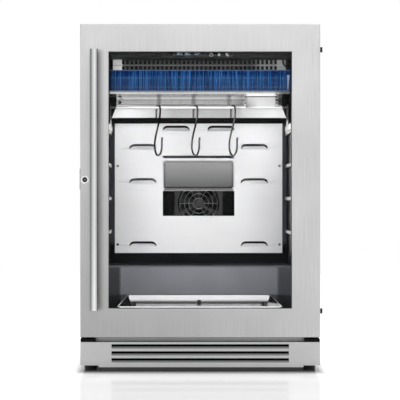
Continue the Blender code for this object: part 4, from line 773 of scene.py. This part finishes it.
# A screw's domed head with a socket, as shares of its radius and rise
screwShape = ((1, 0), (1, 0.35), (0.9, 0.7), (0.66, 0.95), (0.46, 1), (0.40, 0.85), (0.36, 0.35), (0, 0.35))


def screwInto(bm, place, direction, size):
    shape = [(r * size["radius"], h * size["rise"]) for r, h in screwShape]
    turnedInto(bm, shape, place, direction, 18)


def addScrews(name, material, size, *rows):
    # Screws of one size, in rows that each face one way
    bm = bmesh.new()
    for direction, places in rows:
        for place in places:
            screwInto(bm, place, direction, size)
    addPiece(name, bm, material)


# Display: three groups of digits and strokes, and three touch marks, on the control glass
display = {
    "digitWidth": 0.0056, "digitHeight": 0.0068, "stroke": 0.0010,
    "groups": ((-0.0585, "30"), (-0.0382, "30"), (-0.0122, "0-")), "pitch": 0.0074, "base": 0.7893,
    "marks": (0.0284, 0.0477, 0.0680), "markHeight": 0.7890, "markReach": 0.0040, "thickness": 0.0002,
    "glow": 0.36, "ripple": 600.0, "dimmest": 0.85,
}
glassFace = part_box("control_glass")[0].y
segments = {"0": "abcdef", "3": "abgcd", "-": "g"}
# Each stroke's ends, as shares of a digit's width and height
runs = {"a": ((0, 1), (1, 1)), "b": ((1, 1), (1, 0.5)), "c": ((1, 0.5), (1, 0)), "d": ((0, 0), (1, 0)),
        "e": ((0, 0.5), (0, 0)), "f": ((0, 1), (0, 0.5)), "g": ((0, 0.5), (1, 0.5))}


def glowing(name, colour):
    look = Look(name, {"Roughness": 0.4, "Emission Strength": display["glow"]})
    ripple = look.noise((display["ripple"],) * 3, 2.0)
    tone = look.blend(ripple, tuple(c * display["dimmest"] for c in colour), colour)
    look.paint(colour=tone, glow=tone)


def strokeInto(bm, x, z, start, end, width):
    # A stroke with pointed ends between two places, measured from a point on the glass
    start, end = Vector(start), Vector(end)
    along = (end - start).normalized()
    side = Vector((-along.y, along.x)) * width / 2
    tip = along * width / 2
    outline = [start, start + tip + side, end - tip + side, end, end - tip - side, start + tip - side]
    prismInto(bm, outline, Vector((centreX + x, glassFace, z)), right, display["thickness"])


def digitInto(bm, text, x):
    wide, high = display["digitWidth"], display["digitHeight"]
    for letter in segments[text]:
        start, end = ((u * wide, v * high) for u, v in runs[letter])
        strokeInto(bm, x, display["base"], start, end, display["stroke"])


def markInto(bm, number, start, end, width):
    # A stroke of a touch mark, its ends given as shares of the mark's reach
    start, end = (Vector(place) * display["markReach"] for place in (start, end))
    strokeInto(bm, display["marks"][number], display["markHeight"], start, end, width)


glowing("digitBlue", (0.40, 0.62, 0.74))
glowing("markWhite", (0.72, 0.74, 0.74))
bm = bmesh.new()
for start, text in display["groups"]:
    for place, letter in enumerate(text):
        digitInto(bm, letter, start + place * display["pitch"])
addPiece("displayDigits", bm, "digitBlue", smooth=False)

bm = bmesh.new()
# A broken ring with an upright stroke
clock = [point.xy for point in circle(1, 12)]
for i in range(4, 14):
    markInto(bm, 0, clock[i % 12], clock[(i + 1) % 12], 0.0010)
markInto(bm, 0, (0, 0.6), (0, 1.4), 0.0010)
# A small sun
for point in circle(1, 8):
    markInto(bm, 1, (0, 0), point.xy, 0.0009)
# A slanted leaf with two fine ticks
markInto(bm, 2, (-1, 1), (1, -1), 0.0026)
for way in (-1, 1):
    markInto(bm, 2, (way * 0.2, way * 0.55), (way * 0.9, way * 0.55), 0.0007)
addPiece("touchMarks", bm, "markWhite", smooth=False)
print("display made")


# The ceiling plate is held by two screws from below and two through its front
ceilingScrews = {
    "below": ((-0.2045, 0.236), (0.2045, 0.236)), "underside": 0.692,
    "front": ((-0.2060, 0.6795), (0.2060, 0.6795)), "sunk": 0.0012, "radius": 0.0040, "rise": 0.0022,
}
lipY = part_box("ceiling_plate")[1].y - ceilingScrews["sunk"]
below = [spot(x, y, ceilingScrews["underside"]) for x, y in ceilingScrews["below"]]
front = [Vector((centreX + x, lipY, z)) for x, z in ceilingScrews["front"]]
addScrews("ceilingScrews", "rivetSteel", ceilingScrews, (-up, below), (forward, front))

# The duct panel's rivets
ductRivets = {"half": 0.2148, "heights": (0.5155, 0.3070), "depth": 0.416, "radius": 0.0033, "rise": 0.0016}
places = [spot(way * ductRivets["half"], ductRivets["depth"], z) for way in (-1, 1) for z in ductRivets["heights"]]
addScrews("ductRivets", "rivetSteel", ductRivets, (forward, places))

# The rear cover has a row of screws along its top and its foot
coverScrews = {"inset": 0.006, "fromEdge": 0.005, "radius": 0.0034, "rise": 0.0018}
low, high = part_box("rear_service_cover")
columns = (low.x + coverScrews["inset"], (low.x + high.x) / 2, high.x - coverScrews["inset"])
rows = (low.z + coverScrews["fromEdge"], high.z - coverScrews["fromEdge"])
places = [Vector((x, high.y - coverScrews["rise"], z)) for x in columns for z in rows]
addScrews("rearCoverScrews", "satinSteel", coverScrews, (rearward, places))

# The casing's rear is held by a row of screws down each side
casingScrews = {"inset": 0.014, "rows": (0.180, 0.330, 0.480, 0.630, 0.780), "radius": 0.0036, "rise": 0.0011}
columns = (bodyLow.x + casingScrews["inset"], bodyHigh.x - casingScrews["inset"])
places = [Vector((x, bodyHigh.y, z)) for x in columns for z in casingScrews["rows"]]
addScrews("casingScrews", "satinSteel", casingScrews, (rearward, places))

# The upper hinge's leaf is screwed down
hingeScrews = {"sunk": 0.004, "foot": 0.010, "top": 0.014, "radius": 0.0028, "rise": 0.0012}
low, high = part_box("upper_hinge_bracket")
rows = (low.z + hingeScrews["foot"], high.z - hingeScrews["top"])
places = [Vector(((low.x + high.x) / 2, high.y - hingeScrews["sunk"], z)) for z in rows]
addScrews("hingeScrews", "satinSteel", hingeScrews, (forward, places))
print("screws made")


# Sensor box: a lid seam, and mounting lugs with their screws
sensor = {
    "seam": 0.0065, "seamOut": 0.0006, "seamHeight": 0.0024, "lug": 0.0062, "lugDepth": 0.0014,
    "lugInset": 0.012, "lugTop": 0.007, "lugFoot": 0.011, "screw": {"radius": 0.0021, "rise": 0.0014},
}
# Across as a share of the lug's reach, and up in metres
lugShape = ((0, -0.005), (0.7, -0.005), (1, -0.003), (1, 0.003), (0.7, 0.005), (0, 0.005))
low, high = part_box("sensor_box")
outward = Vector((1, 1, 0)) * sensor["seamOut"]
ends = (low - outward, high + outward)
path = [Vector((ends[i].x, ends[j].y, high.z - sensor["seam"])) for i, j in ((0, 0), (1, 0), (1, 1), (0, 1))]
bm = bmesh.new()
wireInto(bm, path, sensor["seamHeight"] / 2, 6, True)
addPiece("sensorSeam", bm, "rivetSteel", smooth=False)
bm = bmesh.new()
places = []
for x, way in ((low.x, -1), (high.x, 1)):
    for z in (high.z - sensor["lugTop"], low.z + sensor["lugFoot"]):
        place = Vector((x, low.y + sensor["lugInset"], z))
        prismInto(bm, [(way * sensor["lug"] * u, v) for u, v in lugShape], place, right, sensor["lugDepth"])
        places.append(place + right * way * sensor["lug"] * 0.5 + forward * sensor["lugDepth"])
addPiece("sensorLugs", bm, "whitePlastic", smooth=False)
addScrews("sensorScrews", "darkSteel", sensor["screw"], (forward, places))

# The sensor's cable runs up beside the grille
cable = {
    "radius": 0.0018, "bend": 0.012,
    "route": (
        (0.2140, 0.200, 0.786), (0.2140, 0.196, 0.770), (0.2335, 0.180, 0.762),
        (0.2335, 0.120, 0.745), (0.2335, 0.100, 0.700), (0.2200, 0.110, 0.6980),
    ),
}
bm = bmesh.new()
wireInto(bm, rounded([spot(*place) for place in cable["route"]], cable["bend"]), cable["radius"], 10)
addPiece("sensorCable", bm, "blackRubber")
print("sensor details made")


# Tray: three rubber stops on the grid, and a rolled wire along the rim
trayStops = {"places": ((-0.165, 0.125, 0.0100), (-0.001, 0.145, 0.0145), (0.160, 0.125, 0.0105)), "radius": 0.0054}
stopShape = ((0, 0), (1, 0), (1, 0.16), (0.72, 0.24), (0.72, 0.62), (0.92, 0.72), (0.88, 0.90), (0.55, 1), (0, 1))
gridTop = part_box("drip_tray_grid")[1].z
bm = bmesh.new()
for x, y, height in trayStops["places"]:
    shape = [(r * trayStops["radius"], h * height) for r, h in stopShape]
    turnedInto(bm, shape, spot(x, y, gridTop), up, 18)
addPiece("trayStops", bm, "blackRubber", "tray")

trayRim = {
    "radius": 0.0012, "bend": 0.006, "front": (0.209, 0.112, 0.1555), "rear": (0.186, 0.3005, 0.1777),
    "barRadius": 0.0021, "barDrop": 0.0011, "barInset": 0.006,
}
thin, thick = trayRim["radius"], trayRim["barRadius"]
half, depth, top = trayRim["front"]
near = (half - thin, depth + thin, top)
roll = [spot(way * (half - trayRim["barInset"]), depth + thick, top - trayRim["barDrop"]) for way in (-1, 1)]
half, depth, top = trayRim["rear"]
far = (half - thin, depth - thin, top)
turns = ((0, near), (1, near), (1, far), (-1, far), (-1, near), (0, near))
rim = [spot(way * x, y, z) for way, (x, y, z) in turns]
bm = bmesh.new()
wireInto(bm, rounded(rim, trayRim["bend"])[:-1], thin, 8, True)
wireInto(bm, roll, thick, 10)
addPiece("trayRim", bm, "rimSteel", "tray")
print("tray details made")


# Rails: two rivets hold each one to the wall
railRivets = {"places": (0.090, 0.360), "radius": 0.0026, "rise": 0.0010}
rows = []
for name in named("shelf_rail"):
    low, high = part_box(name)
    face, way = (high.x, right) if "left" in name else (low.x, -right)
    rows.append((way, [Vector((face, doorFace + y, (low.z + high.z) / 2)) for y in railRivets["places"]]))
addScrews("railRivets", "darkSteel", railRivets, *rows)


# A wire guard in the duct panel's window keeps fingers from the fan
guard = {"rings": (0.014, 0.026, 0.038, 0.050), "ringSteps": 36, "wire": 0.0008, "spokes": 6}
low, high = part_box("evaporator_fan_frame")
hub = Vector((centreX, low.y - guard["wire"], (low.z + high.z) / 2))


def onGuard(radius, steps):
    return [hub + Vector((point.x, 0, point.y)) for point in circle(radius, steps)]


bm = bmesh.new()
for radius in guard["rings"]:
    wireInto(bm, onGuard(radius, guard["ringSteps"]), guard["wire"], 6, True)
for spoke in zip(onGuard(guard["rings"][0], guard["spokes"]), onGuard(guard["rings"][-1], guard["spokes"])):
    wireInto(bm, spoke, guard["wire"], 6)
addPiece("fanGuard", bm, "satinSteel")
print("guard made")


# Handle: a collar where each post meets the door, and a grub screw in its side
collar = {
    "radius": 0.0088, "rise": 0.0030, "bore": 0.0060, "bevel": 0.0010, "fromEnd": 0.060,
    "screwAside": 0.0056, "screwOut": 0.020, "screw": {"radius": 0.0018, "rise": 0.0010},
}
low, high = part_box("door_handle")
wide, tall, bevel = collar["radius"], collar["rise"], collar["bevel"]
shape = [(collar["bore"], tall), (wide - bevel, tall), (wide, tall - bevel), (wide, 0), (collar["bore"], 0),
         (collar["bore"], tall)]
bm = bmesh.new()
for z in (low.z + collar["fromEnd"], high.z - collar["fromEnd"]):
    place = Vector(((low.x + high.x) / 2, doorFace, z))
    turnedInto(bm, shape, place, forward, 28)
    screwInto(bm, place + right * collar["screwAside"] + forward * collar["screwOut"], right, collar["screw"])
bmesh.ops.remove_doubles(bm, verts=bm.verts, dist=0.00001)
addPiece("handleCollars", bm, "chromeSteel", "door")


# Feet: a hexagonal nut on each neck
footNut = {"reach": 0.0105, "rise": 0.0036, "bore": 0.0060, "bevel": 0.0012, "bevelRise": 0.0010, "height": 0.0112}
wide, tall = footNut["reach"], footNut["rise"]
flat, step = wide - footNut["bevel"], footNut["bevelRise"]
shape = [(footNut["bore"], 0), (flat, 0), (wide, step), (wide, tall - step), (flat, tall), (footNut["bore"], tall)]
for name in named("foot_"):
    low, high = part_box(name)
    bm = bmesh.new()
    turnedInto(bm, shape, Vector(((low.x + high.x) / 2, (low.y + high.y) / 2, footNut["height"])), up, 6)
    addPiece(name + "Nut", bm, "zincSteel", name, False)


# Mains inlet: three flat pins in its recess
pins = {"wide": 0.0040, "thick": 0.0018, "long": 0.0130, "pitch": 0.0070, "drop": 0.0035, "recess": 0.016}
# As shares of half the pin's thickness and width
pinShape = ((-1, -1), (1, -1), (1, 0.8), (0.4, 1), (-0.4, 1), (-1, 0.8))
low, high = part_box("mains_inlet")
middle = Vector(((low.x + high.x) / 2, high.y - pins["recess"], (low.z + high.z) / 2))
outline = [(u * pins["thick"] / 2, v * pins["wide"] / 2) for u, v in pinShape]
bm = bmesh.new()
for side, lift in ((-1, -0.5), (0, 0.5), (1, -0.5)):
    place = middle + right * side * pins["pitch"] + up * lift * pins["drop"]
    prismInto(bm, outline, place, -right, pins["long"])
addPiece("inletPins", bm, "satinSteel", smooth=False)

# The plinth's lower edge is hemmed between the feet
hem = {"low": 0.0106, "overlap": 0.0012, "thick": 0.0014, "lean": 0.0002, "left": -0.252, "right": 0.256}
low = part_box("kick_plate")[0]
top, foot, fold = low.z + hem["overlap"], hem["low"], hem["thick"]
outline = [(hem["lean"], top), (0, foot + fold * 0.4), (fold * 0.3, foot), (fold * 0.7, foot),
           (fold, foot + fold * 0.4), (fold, top)]
start = Vector((centreX + hem["right"], low.y, 0))
bm = bmesh.new()
prismInto(bm, outline, start, rearward, hem["left"] - hem["right"])
addPiece("plinthHem", bm, "kickSteel", smooth=False)
print("handle, feet and inlet details made")


# Floor and daylight
studio = {
    "floorSize": 14.0, "tones": ((0.72,) * 3, (0.74,) * 3), "mottleScale": 1.5, "shade": (-0.020, 0.070),
    "under": 0.10, "underGlow": 0.036, "sideShade": (-0.012, 0.012), "frontRise": (0.045, 0.105),
    "frontFade": (0.17, 0.41), "frontFall": 0.52, "frontGlow": 0.29, "farRise": (0.80, 1.70),
    "sideRise": (0.0, 0.030), "sideGlow": 0.70, "gloss": 0.30, "glossRoughness": 0.06, "side": 0.20,
    "front": 0.85, "falloff": 2.2, "lift": 0.30, "lean": -0.08,
}

world = bpy.data.worlds.new("daylight")
bpy.context.scene.world = world
world.use_nodes = True
sky = Tree(world.node_tree)
sky.made.nodes.clear()
rays = sky.node("ShaderNodeLightPath")
seen = sky.node("ShaderNodeBackground", None, {"Color": (1, 1, 1, 1)})
heading = sky.node("ShaderNodeSeparateXYZ", None, {0: sky.node("ShaderNodeTexCoord").outputs["Generated"]})
# Bright before and behind the cabinet, dim to its sides, and a little brighter up to the right
ahead = abs(Flow(sky, heading.outputs["Y"]))
lift = Flow(sky, heading.outputs["Z"]) * studio["lift"] + Flow(sky, heading.outputs["X"]) * studio["lean"]
light = studio["side"] + (studio["front"] - studio["side"]) * ahead ** studio["falloff"] + lift
fill = sky.node("ShaderNodeBackground", None, {"Color": (1, 1, 1, 1), "Strength": light})
direct, glossy, through = (rays.outputs[f"Is {kind} Ray"] for kind in ("Camera", "Glossy", "Transmission"))
shown = sky.maths("MAXIMUM", sky.maths("MAXIMUM", direct, glossy), through)
choice = sky.node("ShaderNodeMixShader", None, {0: shown, 1: fill.outputs[0], 2: seen.outputs[0]})
sky.node("ShaderNodeOutputWorld", None, {"Surface": choice.outputs[0]})

floorMesh = bpy.data.meshes.new("floor")
bm = bmesh.new()
bmesh.ops.create_grid(bm, x_segments=1, y_segments=1, size=studio["floorSize"] / 2)
bm.to_mesh(floorMesh)
bm.free()
ground = Look("floorWhite", {"Roughness": 0.7, "Specular IOR Level": 0.0, "Emission Strength": 1.0})
mottle = ground.noise((studio["mottleScale"],) * 3, 2.0)
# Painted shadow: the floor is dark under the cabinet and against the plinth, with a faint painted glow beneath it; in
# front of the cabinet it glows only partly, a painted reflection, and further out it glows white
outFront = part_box("kick_plate")[0].y - ground.axis("y")
outSide = abs(ground.aside()) - (bodyHigh.x - bodyLow.x) / 2
outAside = ground.maths("MAXIMUM", outSide, ground.axis("y") - bodyHigh.y)
clear = ground.maths("MAXIMUM", outFront.between(*studio["shade"]), outAside.between(*studio["sideShade"]))
ahead = outFront.between(*studio["frontRise"]) * (1 - studio["frontFall"] * outFront.between(*studio["frontFade"]))
around = ground.maths("MAXIMUM", outAside.between(*studio["sideRise"]), outFront.between(*studio["farRise"]))
glow = ground.maths("MAXIMUM", ahead * studio["frontGlow"], around * studio["sideGlow"])
glow = ground.maths("MAXIMUM", glow, (1 - clear) * studio["underGlow"])
plain = ground.blend(mottle, *studio["tones"])
ground.paint(colour=ground.blend(clear, (studio["under"],) * 3, plain), glow=ground.blend(glow, black, white))
gloss = ground.node("ShaderNodeBsdfGlossy", None, {"Color": (1, 1, 1, 1), "Roughness": studio["glossRoughness"]})
mix = ground.node("ShaderNodeMixShader", None, {0: studio["gloss"], 1: ground.shader.outputs[0], 2: gloss.outputs[0]})
ending = next(node for node in ground.made.nodes if node.type == "OUTPUT_MATERIAL")
ground.feed(ending.inputs["Surface"], mix.outputs[0])
floorMesh.materials.append(ground.material)
floor = addObject("floor", floorMesh)

# Soft boxes: where each stands, what it faces, its size and its power
softboxes = {
    "frontTop": ((0.6, -2.2, 2.1), (0, 0, 0.55), (3.6, 2.4), 30),
    "overhead": ((0, 0.2, 2.6), (0, 0.2, 0), (2.5, 2.5), 60),
    "chamberFront": ((0.02, 0.10, 0.650), (0.02, 0.40, 0.38), (0.44, 0.06), 1.68),
    "chamberBrow": ((0, 0.050, 0.590), (0, 0.28, 0.670), (0.42, 0.03), 0.10),
    "sensorSide": ((0.155, 0.052, 0.615), (0.155, 0.082, 0.676), (0.07, 0.02), 0.035),
    "chamberLow": ((0, 0.075, 0.30), (0, 0.315, 0.20), (0.36, 0.04), 0.24),
    "chamberTop": ((-0.02, 0.13, 0.758), (-0.02, 0.21, 0.775), (0.45, 0.01), 0.30),
}
for name, (place, target, size, power) in softboxes.items():
    lamp = bpy.data.lights.new(name, "AREA")
    lamp.shape = "RECTANGLE"
    lamp.size, lamp.size_y = size
    lamp.energy = power
    holder = addObject(name, lamp)
    holder.location = spot(*place)
    holder.rotation_euler = (spot(*target) - holder.location).to_track_quat("-Z", "Y").to_euler()
    # Only the first one shows in polished steel
    holder.visible_glossy = name == "frontTop"
print("light placed")
